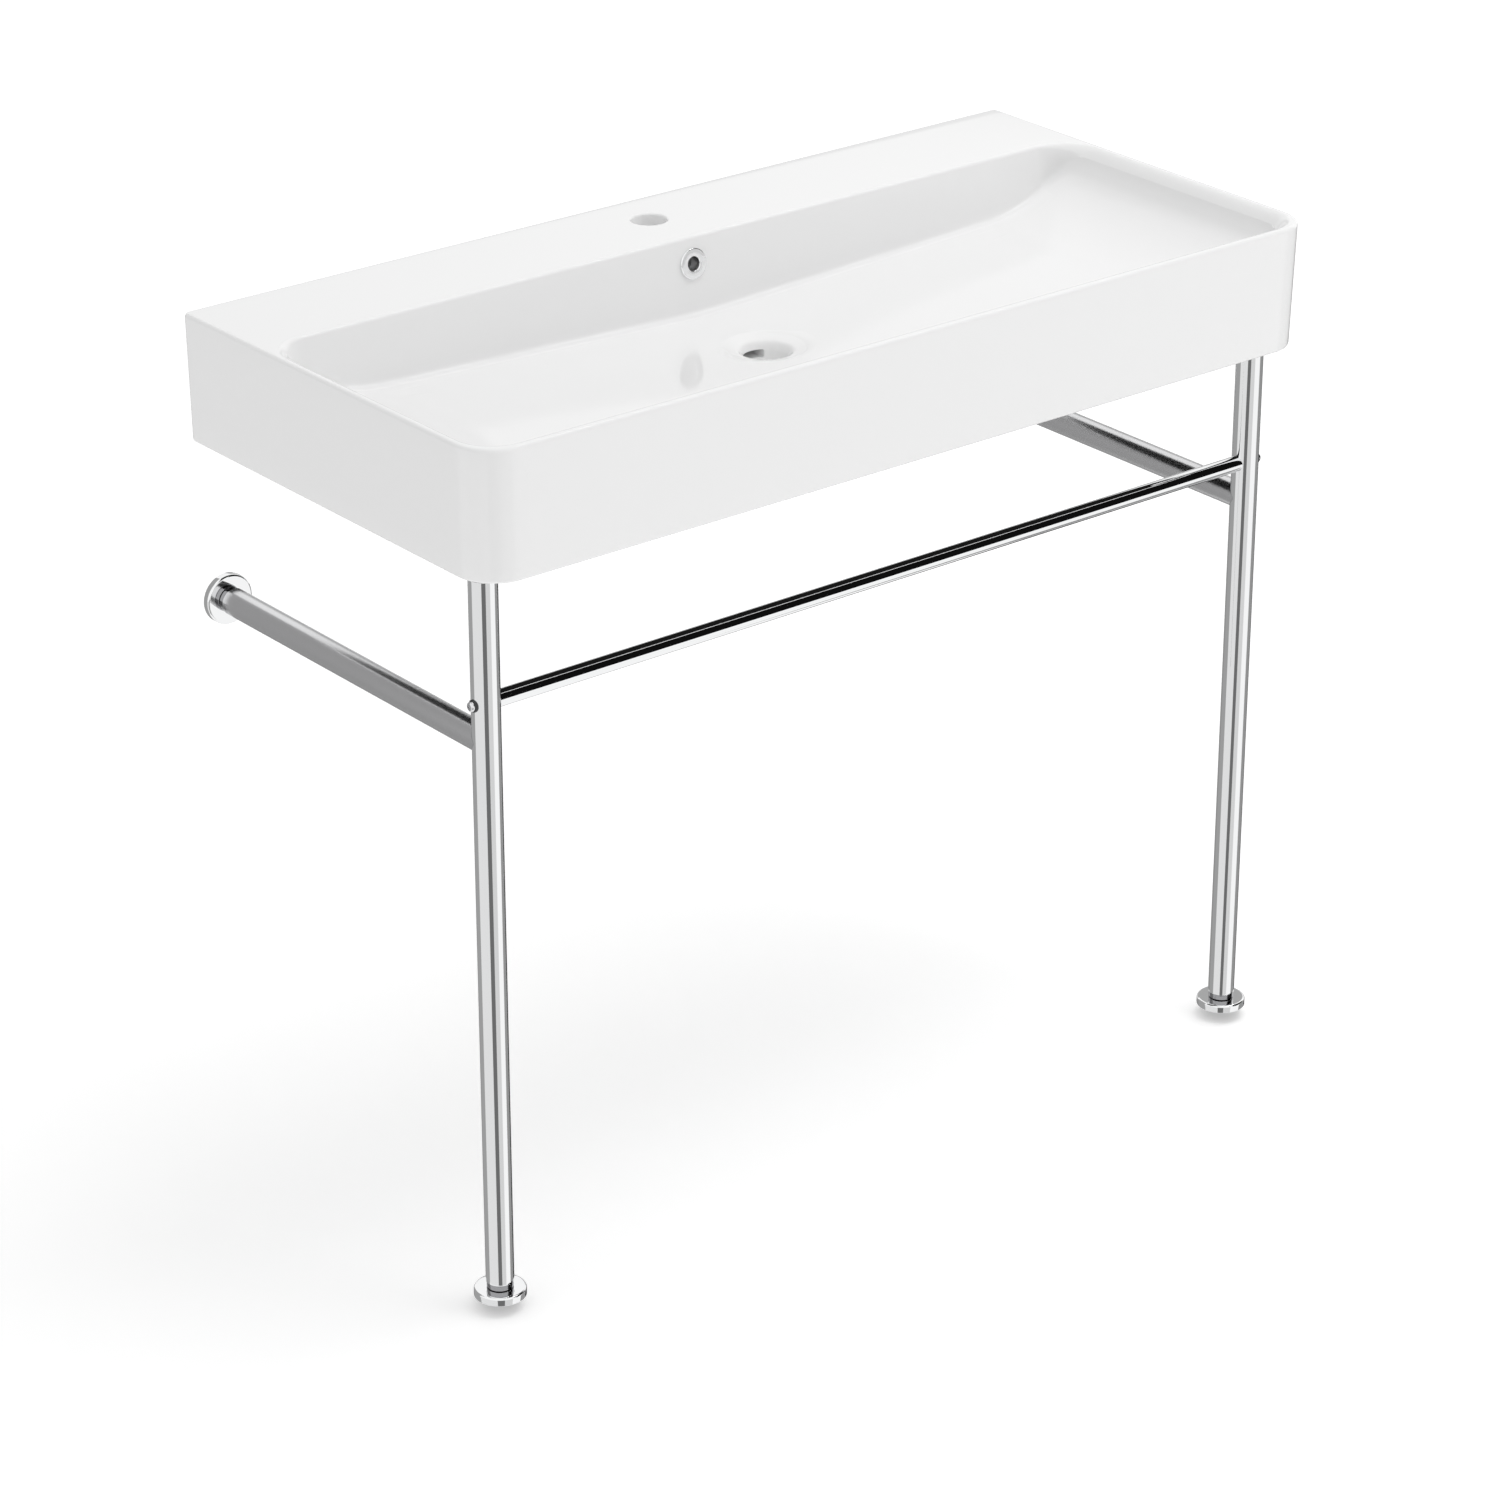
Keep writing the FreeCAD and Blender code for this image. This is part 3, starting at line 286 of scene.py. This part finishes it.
def tidied(piece, sharp=35):
    """Merges doubled points, turns the faces outwards and keeps only real edges sharp."""
    work = bmesh.new()
    work.from_mesh(piece.data)
    bmesh.ops.remove_doubles(work, verts=work.verts, dist=1e-6)
    bmesh.ops.dissolve_degenerate(work, edges=work.edges, dist=1e-7)
    loose = [edge for edge in work.edges if not edge.link_faces]
    bmesh.ops.delete(work, geom=loose, context="EDGES")
    bmesh.ops.recalc_face_normals(work, faces=work.faces)
    work.to_mesh(piece.data)
    work.free()
    piece.data.shade_smooth()
    piece.data.set_sharp_from_angle(angle=math.radians(sharp))
    return piece


basin = tidied(looped_mesh("china_basin", rings))


def worked(piece, tool, operation):
    """The piece after a boolean with a tool, which is used up."""
    cut = piece.modifiers.new("work", "BOOLEAN")
    cut.object, cut.operation, cut.solver = tool, operation, "EXACT"
    view = bpy.context.evaluated_depsgraph_get()
    view.update()
    mesh = bpy.data.meshes.new_from_object(piece.evaluated_get(view))
    piece.modifiers.clear()
    piece.data = mesh
    bpy.data.objects.remove(tool)
    return piece


def block(low, high, edge=1.5):
    """A rectangular block with slightly broken edges, between two corners; all in millimetres."""
    work = bmesh.new()
    bmesh.ops.create_cube(work, size=1)
    low, high = Vector(low) / 1000, Vector(high) / 1000
    for vertex in work.verts:
        vertex.co = Vector([a + (b - a) * (c + 0.5) for a, b, c in zip(low, high, vertex.co)])
    bmesh.ops.bevel(work, geom=work.edges[:], offset=edge / 1000, segments=3, profile=0.5, affect="EDGES")
    mesh = bpy.data.meshes.new("block")
    work.to_mesh(mesh)
    work.free()
    piece = bpy.data.objects.new("block", mesh)
    bpy.context.scene.collection.objects.link(piece)
    return piece


def eased(section, steps=5):
    """A section whose corners are eased; each point is radius, height and easing, in millimetres."""
    points = []
    for number, (radius, height, ease) in enumerate(section):
        here = Vector((radius, height))
        if ease == 0:
            points.append(here / 1000)
            continue
        back = (Vector(section[number - 1][:2]) - here).normalized()
        ahead = (Vector(section[(number + 1) % len(section)][:2]) - here).normalized()
        half = back.angle(ahead) / 2
        centre = here + (back + ahead).normalized() * ease / math.sin(half)
        start = here + back * ease / math.tan(half) - centre
        end = here + ahead * ease / math.tan(half) - centre
        for step in range(steps + 1):
            arm = start.lerp(end, step / steps).normalized() * ease
            points.append((centre + arm) / 1000)
    return points


def turned(name, section, place, steps=112):
    """A turned piece: its closed section swept round its own Z, then put in place."""
    loops = []
    for step in range(steps):
        turn = math.tau * step / steps
        loops.append([Vector((p.x * math.cos(turn), p.x * math.sin(turn), p.y)) for p in section])
    piece = looped_mesh(name, loops)
    piece.data.transform(place)
    return tidied(piece)


def standing(x, y, z, turn=0.0, about="X"):
    """A place in millimetres, and a turn in degrees."""
    return Matrix.Translation(Vector((x, y, z)) / 1000) @ Matrix.Rotation(math.radians(turn), 4, about)


OVERFLOW = standing(0, -127.6, 43, 82.4)
additions = [block((-21, -121, -30), (21, -98, 57)), block((-21, -206, -32), (21, -98, -14))]
for side in (-1, 1):
    near, far = sorted((side * 440, side * 488))
    additions.append(block((near, -430, -56.999), (far, -395, 20)))
    near, far = sorted((side * 440, side * 463))
    additions.append(block((near, -457, -56.999), (far, -428, 20)))
    additions.append(turned("corner_pad", eased([(0, -56.999, 0), (26, -56.999, 1.5), (26, 20, 0), (0, 20, 0)]),
                            standing(side * 462, -430, 0)))
    additions.append(turned("bolt_pad", eased([(0, 1, 0), (22, 1, 0), (22, 20, 1.5), (0, 20, 0)]),
                            standing(side * 140, 0, 0, 90)))
for addition in additions:
    worked(basin, addition, "UNION")
cutters = [
    turned("faucet_cutter", eased([(0, 40, 0), (17.5, 40, 0), (17.5, 70, 2.5), (30, 70, 0), (30, 80, 0),
                                   (0, 80, 0)], 8), standing(0, -59, 0)),
    turned("overflow_cutter", eased([(0, -17, 0), (11.2, -17, 0), (11.2, 6, 0), (0, 6, 0)]), OVERFLOW),
    block((-13, -119, -29), (13, -107, 51)), block((-13, -240, -29), (13, -107, -21))]
for side in (-1, 1):
    cutters.append(turned("bolt_cutter", eased([(0, -5, 0), (7, -5, 0), (7, 30, 0), (0, 30, 0)]),
                          standing(side * 140, 0, 0, 90)))
    cutters.append(turned("peg_cutter", eased([(0, -60, 0), (15, -60, 0), (15, -53, 0.5), (0, -53, 0)]),
                          standing(side * 467, -422, 0)))       # the legs' axes
for cutter in cutters:
    worked(basin, cutter, "DIFFERENCE")
tidied(basin)


def surface(name, color, metallic, roughness, grain, depth, stretch=(1, 1, 1)):
    """A material with a fine relief of its own: grain per metre and depth in metres."""
    material = bpy.data.materials.new(name)
    material.use_nodes = True
    nodes, links = material.node_tree.nodes, material.node_tree.links
    shader = nodes["Principled BSDF"]
    shader.inputs["Base Color"].default_value = (*color, 1)
    shader.inputs["Metallic"].default_value = metallic
    shader.inputs["Roughness"].default_value = roughness
    place = nodes.new("ShaderNodeTexCoord")
    scale = nodes.new("ShaderNodeMapping")
    scale.inputs["Scale"].default_value = stretch
    noise = nodes.new("ShaderNodeTexNoise")
    noise.inputs["Scale"].default_value = grain
    noise.inputs["Detail"].default_value = 3
    relief = nodes.new("ShaderNodeBump")
    relief.inputs["Strength"].default_value = 1
    relief.inputs["Distance"].default_value = depth
    links.new(place.outputs["Object"], scale.inputs["Vector"])
    links.new(scale.outputs["Vector"], noise.inputs["Vector"])
    links.new(noise.outputs["Fac"], relief.inputs["Height"])
    links.new(relief.outputs["Normal"], shader.inputs["Normal"])
    return material


def given(piece, body, node, material):
    """Puts a finished piece in the frame in place of a CAD node."""
    piece.data.materials.clear()
    piece.data.materials.append(material)
    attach(piece, body)
    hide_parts(node)


GLAZE_WHITE, BARE_CHINA = (0.86, 0.86, 0.86), (0.78, 0.75, 0.70)
GLAZE_ROUGHNESS, BARE_ROUGHNESS = 0.08, 0.75
glaze = surface("white_glaze", GLAZE_WHITE, 0, GLAZE_ROUGHNESS, 26, 0.00004)
nodes, links = glaze.node_tree.nodes, glaze.node_tree.links
spot = nodes.new("ShaderNodeSeparateXYZ")
links.new(nodes["Texture Coordinate"].outputs["Object"], spot.inputs["Vector"])
bare = nodes.new("ShaderNodeMath")                      # the back is ground bare
bare.operation = "GREATER_THAN"
bare.inputs[1].default_value = -0.0004
links.new(spot.outputs["Y"], bare.inputs[0])
tone = nodes.new("ShaderNodeMix")
tone.data_type = "RGBA"
tone.inputs["A"].default_value = (*GLAZE_WHITE, 1)
tone.inputs["B"].default_value = (*BARE_CHINA, 1)
links.new(bare.outputs["Value"], tone.inputs["Factor"])
links.new(tone.outputs["Result"], nodes["Principled BSDF"].inputs["Base Color"])
nodes["Principled BSDF"].inputs["Specular IOR Level"].default_value = 0.38
gloss = nodes.new("ShaderNodeMapRange")
gloss.inputs["To Min"].default_value = GLAZE_ROUGHNESS
gloss.inputs["To Max"].default_value = BARE_ROUGHNESS
links.new(bare.outputs["Value"], gloss.inputs["Value"])
links.new(gloss.outputs["Result"], nodes["Principled BSDF"].inputs["Roughness"])
given(basin, "root", "basin", glaze)

# ---------------------------------------------------------------- the overflow ring
# A thin turned ring with a sleeve, chromed brass.
# Its sleeve is pressed with a rubber lip into the overflow hole on the slope of the bowl's back wall.

chrome = surface("polished_chrome", (0.90, 0.905, 0.91), 1, 0.035, 900, 0.0000004)
ring = turned("overflow_ring_face", eased([(7, -11, 0), (9, -11, 0), (9, 0, 0), (15.5, 0, 0.1),
                                           (15.5, 2.4, 1.1), (7, 2.4, 1.2)]), OVERFLOW, 96)
given(ring, "root", "overflow_ring", chrome)

# ---------------------------------------------------------------- the legs
# Two straight brass tubes, polished and chromed, each with a turned collar pressed in at the bottom.
# A peg in the top of each carries the basin's corner on a rubber cushion.

steel = surface("turned_steel", (0.46, 0.46, 0.47), 1, 0.34, 500, 0.000004, (1, 1, 12))
rubber = surface("black_rubber", (0.035, 0.035, 0.036), 0, 0.72, 1400, 0.00003)
LEG_X, LEG_Y, FOOT_Z = 467, -422, -795      # the legs' axes and the floor, in millimetres
TUBE, TUBE_BORE = 13.5, 12                  # radii of the legs and the arms
LEG_PLACES = (("left", -LEG_X), ("right", LEG_X))
for side, x in LEG_PLACES:
    section = eased([(TUBE, -779.7, 0.25), (TUBE, -66, 0.4), (TUBE_BORE, -66, 0), (TUBE_BORE, -779.7, 0)])
    tube = turned("leg_tube_%s_chromed" % side, section, standing(x, LEG_Y, 0), 160)
    given(tube, "root", "leg_tube_" + side, chrome)
    for node, finish in (("leg_slug", steel), ("leg_top_insert", steel), ("support_peg", steel),
                         ("support_cushion", rubber), ("foot_pad", rubber), ("flange_pad", rubber),
                         ("arm_front_plug", steel), ("arm_stud", steel), ("bar_plug", steel)):
        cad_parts["%s_%s" % (node, side)].data.materials.clear()
        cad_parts["%s_%s" % (node, side)].data.materials.append(finish)

# ---------------------------------------------------------------- the feet and the wall flanges
# Polished discs on threaded studs, with rubber pads; turned by hand to meet the floor and the wall.
# Each stud runs in a turned steel collar that is pressed into the end of the leg or the arm.

ARM_Z = -224                                # the side arms' axes, in millimetres
collar_metal = surface("turned_collar", (0.36, 0.36, 0.37), 1, 0.16, 700, 0.000003, (1, 1, 20))


def threads():
    """Geometry Nodes tree: a round core with a helical thread laid round it."""
    tree = bpy.data.node_groups.new("screw_thread", "GeometryNodeTree")
    tree.interface.new_socket("Geometry", in_out="OUTPUT", socket_type="NodeSocketGeometry")
    for name in ("Radius", "Depth", "Pitch", "Length"):
        tree.interface.new_socket(name, in_out="INPUT", socket_type="NodeSocketFloat")
    tree.interface.new_socket("Material", in_out="INPUT", socket_type="NodeSocketMaterial")
    nodes, links = tree.nodes, tree.links
    given_in, out = nodes.new("NodeGroupInput"), nodes.new("NodeGroupOutput")

    def math_node(operation, first, second):
        node = nodes.new("ShaderNodeMath")
        node.operation = operation
        for socket, value in zip(node.inputs, (first, second)):
            if isinstance(value, (int, float)):
                socket.default_value = value
            else:
                links.new(value, socket)
        return node.outputs[0]

    radius, depth = given_in.outputs["Radius"], given_in.outputs["Depth"]
    pitch, length = given_in.outputs["Pitch"], given_in.outputs["Length"]
    core_radius = math_node("SUBTRACT", radius, depth)
    core = nodes.new("GeometryNodeMeshCylinder")
    core.inputs["Vertices"].default_value = 48
    links.new(core_radius, core.inputs["Radius"])
    links.new(length, core.inputs["Depth"])
    lifted = nodes.new("GeometryNodeTransform")
    middle = nodes.new("ShaderNodeCombineXYZ")
    links.new(math_node("MULTIPLY", length, 0.5), middle.inputs["Z"])
    links.new(core.outputs["Mesh"], lifted.inputs["Geometry"])
    links.new(middle.outputs["Vector"], lifted.inputs["Translation"])
    helix = nodes.new("GeometryNodeCurveSpiral")
    helix.inputs["Resolution"].default_value = 40
    threaded = math_node("SUBTRACT", length, math_node("MULTIPLY", pitch, 2))
    links.new(math_node("DIVIDE", threaded, pitch), helix.inputs["Rotations"])
    helix_radius = math_node("SUBTRACT", radius, math_node("MULTIPLY", depth, 0.8))
    links.new(helix_radius, helix.inputs["Start Radius"])
    links.new(helix_radius, helix.inputs["End Radius"])
    links.new(threaded, helix.inputs["Height"])
    profile = nodes.new("GeometryNodeCurvePrimitiveCircle")
    profile.inputs["Resolution"].default_value = 4
    links.new(math_node("MULTIPLY", depth, 0.8), profile.inputs["Radius"])
    sweep = nodes.new("GeometryNodeCurveToMesh")
    links.new(helix.outputs["Curve"], sweep.inputs["Curve"])
    links.new(profile.outputs["Curve"], sweep.inputs["Profile Curve"])
    sweep.inputs["Fill Caps"].default_value = True
    raised = nodes.new("GeometryNodeTransform")
    start = nodes.new("ShaderNodeCombineXYZ")
    links.new(pitch, start.inputs["Z"])
    links.new(sweep.outputs["Mesh"], raised.inputs["Geometry"])
    links.new(start.outputs["Vector"], raised.inputs["Translation"])
    both = nodes.new("GeometryNodeJoinGeometry")
    links.new(lifted.outputs["Geometry"], both.inputs["Geometry"])
    links.new(raised.outputs["Geometry"], both.inputs["Geometry"])
    real = nodes.new("GeometryNodeRealizeInstances")
    links.new(both.outputs["Geometry"], real.inputs["Geometry"])
    finish = nodes.new("GeometryNodeSetMaterial")
    links.new(real.outputs["Geometry"], finish.inputs["Geometry"])
    links.new(given_in.outputs["Material"], finish.inputs["Material"])
    links.new(finish.outputs["Geometry"], out.inputs["Geometry"])
    return tree


thread_tree = threads()


def grown(name, tree, values, place):
    """The mesh that a Geometry Nodes tree grows, with its named inputs set."""
    empty = bpy.data.meshes.new(name)
    piece = bpy.data.objects.new(name, empty)
    bpy.context.scene.collection.objects.link(piece)
    grower = piece.modifiers.new("grower", "NODES")
    grower.node_group = tree
    for item in tree.interface.items_tree:
        if item.in_out == "INPUT" and item.name in values:
            grower[item.identifier] = values[item.name]
    view = bpy.context.evaluated_depsgraph_get()
    view.update()
    mesh = bpy.data.meshes.new_from_object(piece.evaluated_get(view))
    piece.modifiers.clear()
    piece.data = mesh
    piece.data.transform(place)
    return tidied(piece)


for side, x in LEG_PLACES:
    for end, place, nodes_here in (
            ("foot", standing(x, LEG_Y, FOOT_Z), ("foot_disc", "foot_stud", "leg_bottom_insert")),
            ("flange", standing(x, 0, ARM_Z, 90), ("wall_flange", "flange_stud", "arm_rear_insert"))):
        body = "%s_%s" % (side, end)
        disc = turned("%s_disc_%s" % (end, side), eased([
            (0, 1.2, 0), (21.1, 1.2, 0), (21.1, 0.5, 0.15), (25, 0.5, 0.4), (25, 8.5, 2.2), (5.1, 8.5, 0.2),
            (5.1, 4.5, 0), (0, 4.5, 0)], 6), place, 144)
        given(disc, body, "%s_%s" % (nodes_here[0], side), chrome)
        stud = grown("%s_thread_%s" % (end, side), thread_tree,
                     {"Radius": 0.00498, "Depth": 0.0007, "Pitch": 0.0015, "Length": 0.048, "Material": steel},
                     place @ Matrix.Translation((0, 0, 0.0045)))
        given(stud, body, "%s_%s" % (nodes_here[1], side), steel)
        collar = turned("%s_collar_%s" % (end, side), eased([
            (5.1, 9.3, 0.2), (12.8, 9.3, 0.5), (12.8, 15.3, 0), (11.9, 15.3, 0), (11.9, 37.3, 0),
            (5.1, 37.3, 0)]), place)
        given(collar, "root", "%s_%s" % (nodes_here[2], side), collar_metal)

# ---------------------------------------------------------------- the side arms
# Two tubes from the wall to the legs, chromed over a softer polish than the legs.
# The front end is cut to a saddle on the leg, and a stud inside draws the two together.

satin = surface("satin_chrome", (0.74, 0.74, 0.75), 1, 0.24, 300, 0.000012, (1, 0.05, 1))


def saddled(name, radius, bore, first, last, place, steps=144):
    """A tube along its own X whose ends follow the given functions of the distance from its middle plane."""
    loops = []
    for step in range(steps):
        turn = math.tau * step / steps
        loop = []
        for r, end in ((radius, first), (radius, last), (bore, last), (bore, first)):
            across, up = r * math.cos(turn), r * math.sin(turn)
            loop.append(Vector((end(across), across, up)))
        loops.append(loop)
    piece = looped_mesh(name, loops)
    piece.data.transform(place)
    return tidied(piece)


SADDLE = 0.0136             # the leg's radius and a seam of 0.1 mm
ARM_LENGTH = 0.4067         # from the leg's axis to the collar at the wall


def on_leg(across):
    """Where a tube's end meets the leg, from the leg's axis."""
    return math.sqrt(SADDLE * SADDLE - min(abs(across), SADDLE) ** 2)


for side, x in LEG_PLACES:
    arm = saddled("side_arm_%s_satin" % side, TUBE / 1000, TUBE_BORE / 1000, on_leg,
                  lambda across: ARM_LENGTH, standing(x, LEG_Y, ARM_Z, 90, "Z"))
    given(arm, "root", "side_arm_" + side, satin)

# ---------------------------------------------------------------- the towel bar
# A thinner chromed tube between the legs, cut to a saddle at both ends.
# A plug in each end takes the screw that comes through the leg from outside.

BAR_Z = -186                # the bar's axis, in millimetres
BAR, BAR_BORE = 0.008, 0.0068
bar = saddled("towel_bar_chromed", BAR, BAR_BORE, lambda across: on_leg(across) - LEG_X / 1000,
              lambda across: LEG_X / 1000 - on_leg(across), standing(0, LEG_Y, BAR_Z), 96)
given(bar, "root", "towel_bar", chrome)

# ---------------------------------------------------------------- the bar screws and their washers
# Pan-head screws with a cross recess, polished steel, and black moulded cup washers.
# They pass through the legs' outer sides and hold the towel bar.

bright_steel = surface("polished_screw", (0.78, 0.78, 0.79), 1, 0.10, 900, 0.000002)
black_plastic = surface("washer_plastic", (0.03, 0.03, 0.032), 0, 0.38, 1500, 0.00001)
for side, x in LEG_PLACES:
    way = math.copysign(1, x)
    place = standing(x + way * TUBE, LEG_Y, BAR_Z, way * 90, "Y")
    washer = turned("cup_washer_" + side, eased([(2.6, -0.3, 0), (6, -1.3, 0), (6, 1.4, 0.7), (4.95, 1.4, 0.1),
                                                 (4.95, 1.3, 0), (2.6, 1.3, 0)]), place, 72)
    given(washer, "root", "screw_washer_" + side, black_plastic)
    screw = turned("pan_screw_" + side, eased([(0, -48, 0), (2.5, -48, 0.4), (2.5, 1.45, 0), (4.8, 1.45, 0.2),
                                               (4.8, 4.8, 2.2), (0, 4.8, 0)], 8), place, 72)
    for turn in (0, 90):
        slit = block((-2.6, -0.55, 3.2), (2.6, 0.55, 6), 0.15)
        slit.data.transform(place @ Matrix.Rotation(math.radians(turn), 4, "Z"))
        worked(screw, slit, "DIFFERENCE")
    tidied(screw)
    given(screw, "root", "bar_screw_" + side, bright_steel)

# ---------------------------------------------------------------- the studio
# A white floor and room, lit by large soft lamps.
# Cards that only reflections see give the chrome its bands, and the camera stands as for the photograph.

world = bpy.data.worlds.new("white_room")
bpy.context.scene.world = world
world.use_nodes = True
nodes, links = world.node_tree.nodes, world.node_tree.links
path = nodes.new("ShaderNodeLightPath")
seen = nodes.new("ShaderNodeMath")
seen.operation = "MAXIMUM"
links.new(path.outputs["Is Camera Ray"], seen.inputs[0])
links.new(path.outputs["Is Glossy Ray"], seen.inputs[1])
level = nodes.new("ShaderNodeMapRange")
level.inputs["To Min"].default_value = 0.655            # the light that the room gives
level.inputs["To Max"].default_value = 1.0              # and how white it looks
links.new(seen.outputs["Value"], level.inputs["Value"])
nodes["Background"].inputs["Color"].default_value = (1, 1, 1, 1)
links.new(level.outputs["Result"], nodes["Background"].inputs["Strength"])

work = bmesh.new()
bmesh.ops.create_grid(work, x_segments=1, y_segments=1, size=14)
floor_mesh = bpy.data.meshes.new("floor")
work.to_mesh(floor_mesh)
work.free()
floor = bpy.data.objects.new("floor", floor_mesh)
floor.location.z = -0.8075    # just below the pads when the feet are screwed right out
bpy.context.scene.collection.objects.link(floor)
floor.visible_glossy = False
floor_white = bpy.data.materials.new("floor_white")
floor_white.use_nodes = True
nodes, links = floor_white.node_tree.nodes, floor_white.node_tree.links
nodes["Principled BSDF"].inputs["Base Color"].default_value = (0.92, 0.92, 0.92, 1)
nodes["Principled BSDF"].inputs["Roughness"].default_value = 0.9
nodes["Principled BSDF"].inputs["Specular IOR Level"].default_value = 0
nodes["Principled BSDF"].inputs["Emission Color"].default_value = (1, 1, 1, 1)
path = nodes.new("ShaderNodeLightPath")
place = nodes.new("ShaderNodeTexCoord")
reach = nodes.new("ShaderNodeVectorMath")
reach.operation = "LENGTH"
links.new(place.outputs["Object"], reach.inputs[0])
far_glow = nodes.new("ShaderNodeMapRange")              # the far floor gets less of the lamps' light
far_glow.inputs["From Min"].default_value = 0.9
far_glow.inputs["From Max"].default_value = 3.2
far_glow.inputs["To Min"].default_value = 0.26
far_glow.inputs["To Max"].default_value = 0.43
links.new(reach.outputs["Value"], far_glow.inputs["Value"])
glow = nodes.new("ShaderNodeMapRange")
glow.inputs["To Min"].default_value = 0.28
links.new(path.outputs["Is Camera Ray"], glow.inputs["Value"])
links.new(far_glow.outputs["Result"], glow.inputs["To Max"])
links.new(glow.outputs["Result"], nodes["Principled BSDF"].inputs["Emission Strength"])
side_seen = nodes.new("ShaderNodeNewGeometry")          # from below the floor is clear
clear = nodes.new("ShaderNodeBsdfTransparent")
either = nodes.new("ShaderNodeMixShader")
links.new(side_seen.outputs["Backfacing"], either.inputs["Fac"])
links.new(nodes["Principled BSDF"].outputs["BSDF"], either.inputs[1])
links.new(clear.outputs["BSDF"], either.inputs[2])
links.new(either.outputs["Shader"], nodes["Material Output"].inputs["Surface"])
floor_mesh.materials.append(floor_white)


def lamp(name, where, aim, size, power):
    light = bpy.data.lights.new(name, "AREA")
    light.shape, light.size, light.energy = "SQUARE", size, power
    holder = bpy.data.objects.new(name, light)
    holder.location = where
    holder.rotation_euler = (Vector(aim) - Vector(where)).to_track_quat("-Z", "Y").to_euler()
    bpy.context.scene.collection.objects.link(holder)
    holder.visible_glossy = False
    return holder


lamp("top_light", (1.0, -0.7, 3.2), (0, -0.2, 0), 2.6, 52)
lamp("front_light", (1.7, -3.6, 0.6), (0, -0.4, 0), 1.4, 11)
lamp("left_light", (-4.2, 0.2, 0.6), (-0.5, -0.2, 0), 1.4, 7)


def only_reflected(piece):
    """Keeps a piece of the studio out of everything but reflections."""
    for way in ("camera", "diffuse", "shadow", "transmission", "volume_scatter"):
        setattr(piece, "visible_" + way, False)


def card(name, azimuth, spread, distance, low, high, tone):
    """A curved card that only reflections see; azimuth is from the front towards the left, in degrees."""
    steps, middle_y = 24, -0.3
    vertices, faces = [], []
    for step in range(steps + 1):
        turn = math.radians(azimuth - spread / 2 + spread * step / steps)
        for z in (low, high):
            vertices.append((-distance * math.sin(turn), middle_y - distance * math.cos(turn), z))
        if step:
            faces.append((2 * step - 2, 2 * step, 2 * step + 1, 2 * step - 1))
    mesh = bpy.data.meshes.new(name)
    mesh.from_pydata(vertices, [], faces)
    piece = bpy.data.objects.new(name, mesh)
    bpy.context.scene.collection.objects.link(piece)
    paint = bpy.data.materials.new(name)
    paint.use_nodes = True
    shader = paint.node_tree.nodes["Principled BSDF"]
    shader.inputs["Base Color"].default_value = (0, 0, 0, 1)
    shader.inputs["Specular IOR Level"].default_value = 0
    shader.inputs["Emission Color"].default_value = (1, 1, 1, 1)
    shader.inputs["Emission Strength"].default_value = tone
    mesh.materials.append(paint)
    only_reflected(piece)


card("left_back_card", 150, 54, 4.0, -5.0, 4.0, 0.36)
card("left_card", 87, 72, 4.0, -5.0, -0.9, 0.80)
card("back_card", 206, 58, 4.0, -5.0, -0.9, 0.30)
card("dark_back_card", 248, 24, 4.0, -5.0, -0.9, 0.01)
card("right_card", 282, 43, 4.0, -5.0, -0.9, 0.31)
card("soft_front_card", 6, 34, 4.0, -5.0, -0.9, 0.70)
card("camera_card", 37, 28, 4.0, -5.0, -0.9, 0.16)
card("foot_card", 218, 40, 2.6, -0.3, 0.70, 0.42)
card("upper_card", -55, 60, 4.0, -0.65, 6.0, 0.005)


def flat_card(name, low, high, tone):
    """A small flat card near the object, between two corners in millimetres."""
    piece = block(low, high)
    piece.name = name
    paint = bpy.data.materials["dark_back_card"].copy()
    paint.name = name
    paint.node_tree.nodes["Principled BSDF"].inputs["Emission Strength"].default_value = tone
    piece.data.materials.append(paint)
    only_reflected(piece)


# A dark card across the basin's hollow, seen only in reflections: painted shade of the hollow in the chrome.
flat_card("hollow_shade_card", (-480, -452, -56.5), (480, -20, -53.0), 0.01)
# A white glowing card above the front, seen only in reflections: a painted reflection on the overflow ring's
# face.
flat_card("ring_reflection_card", (120, -480, 380), (420, -330, 384), 1.0)
# A strongly glowing strip high at the front right, seen only in reflections: painted highlights along the
# glaze's rims and coves.
flat_card("strip_highlight_card", (1000, -1250, 2700), (2600, -900, 2704), 7.0)

# The camera looks down from the front left, 4.8 m from the middle of the object.
camera_data = bpy.data.cameras.new("camera")
camera_data.lens = 117.1608
camera_data.sensor_width = 36
camera = bpy.data.objects.new("camera", camera_data)
camera.location = (-2.7613, -3.6458, 1.5916)
camera.rotation_euler = Vector((0.56929, 0.70716, -0.41932)).to_track_quat("-Z", "Y").to_euler()
bpy.context.scene.collection.objects.link(camera)
bpy.context.scene.camera = camera
bpy.context.scene.view_settings.view_transform = "Standard"
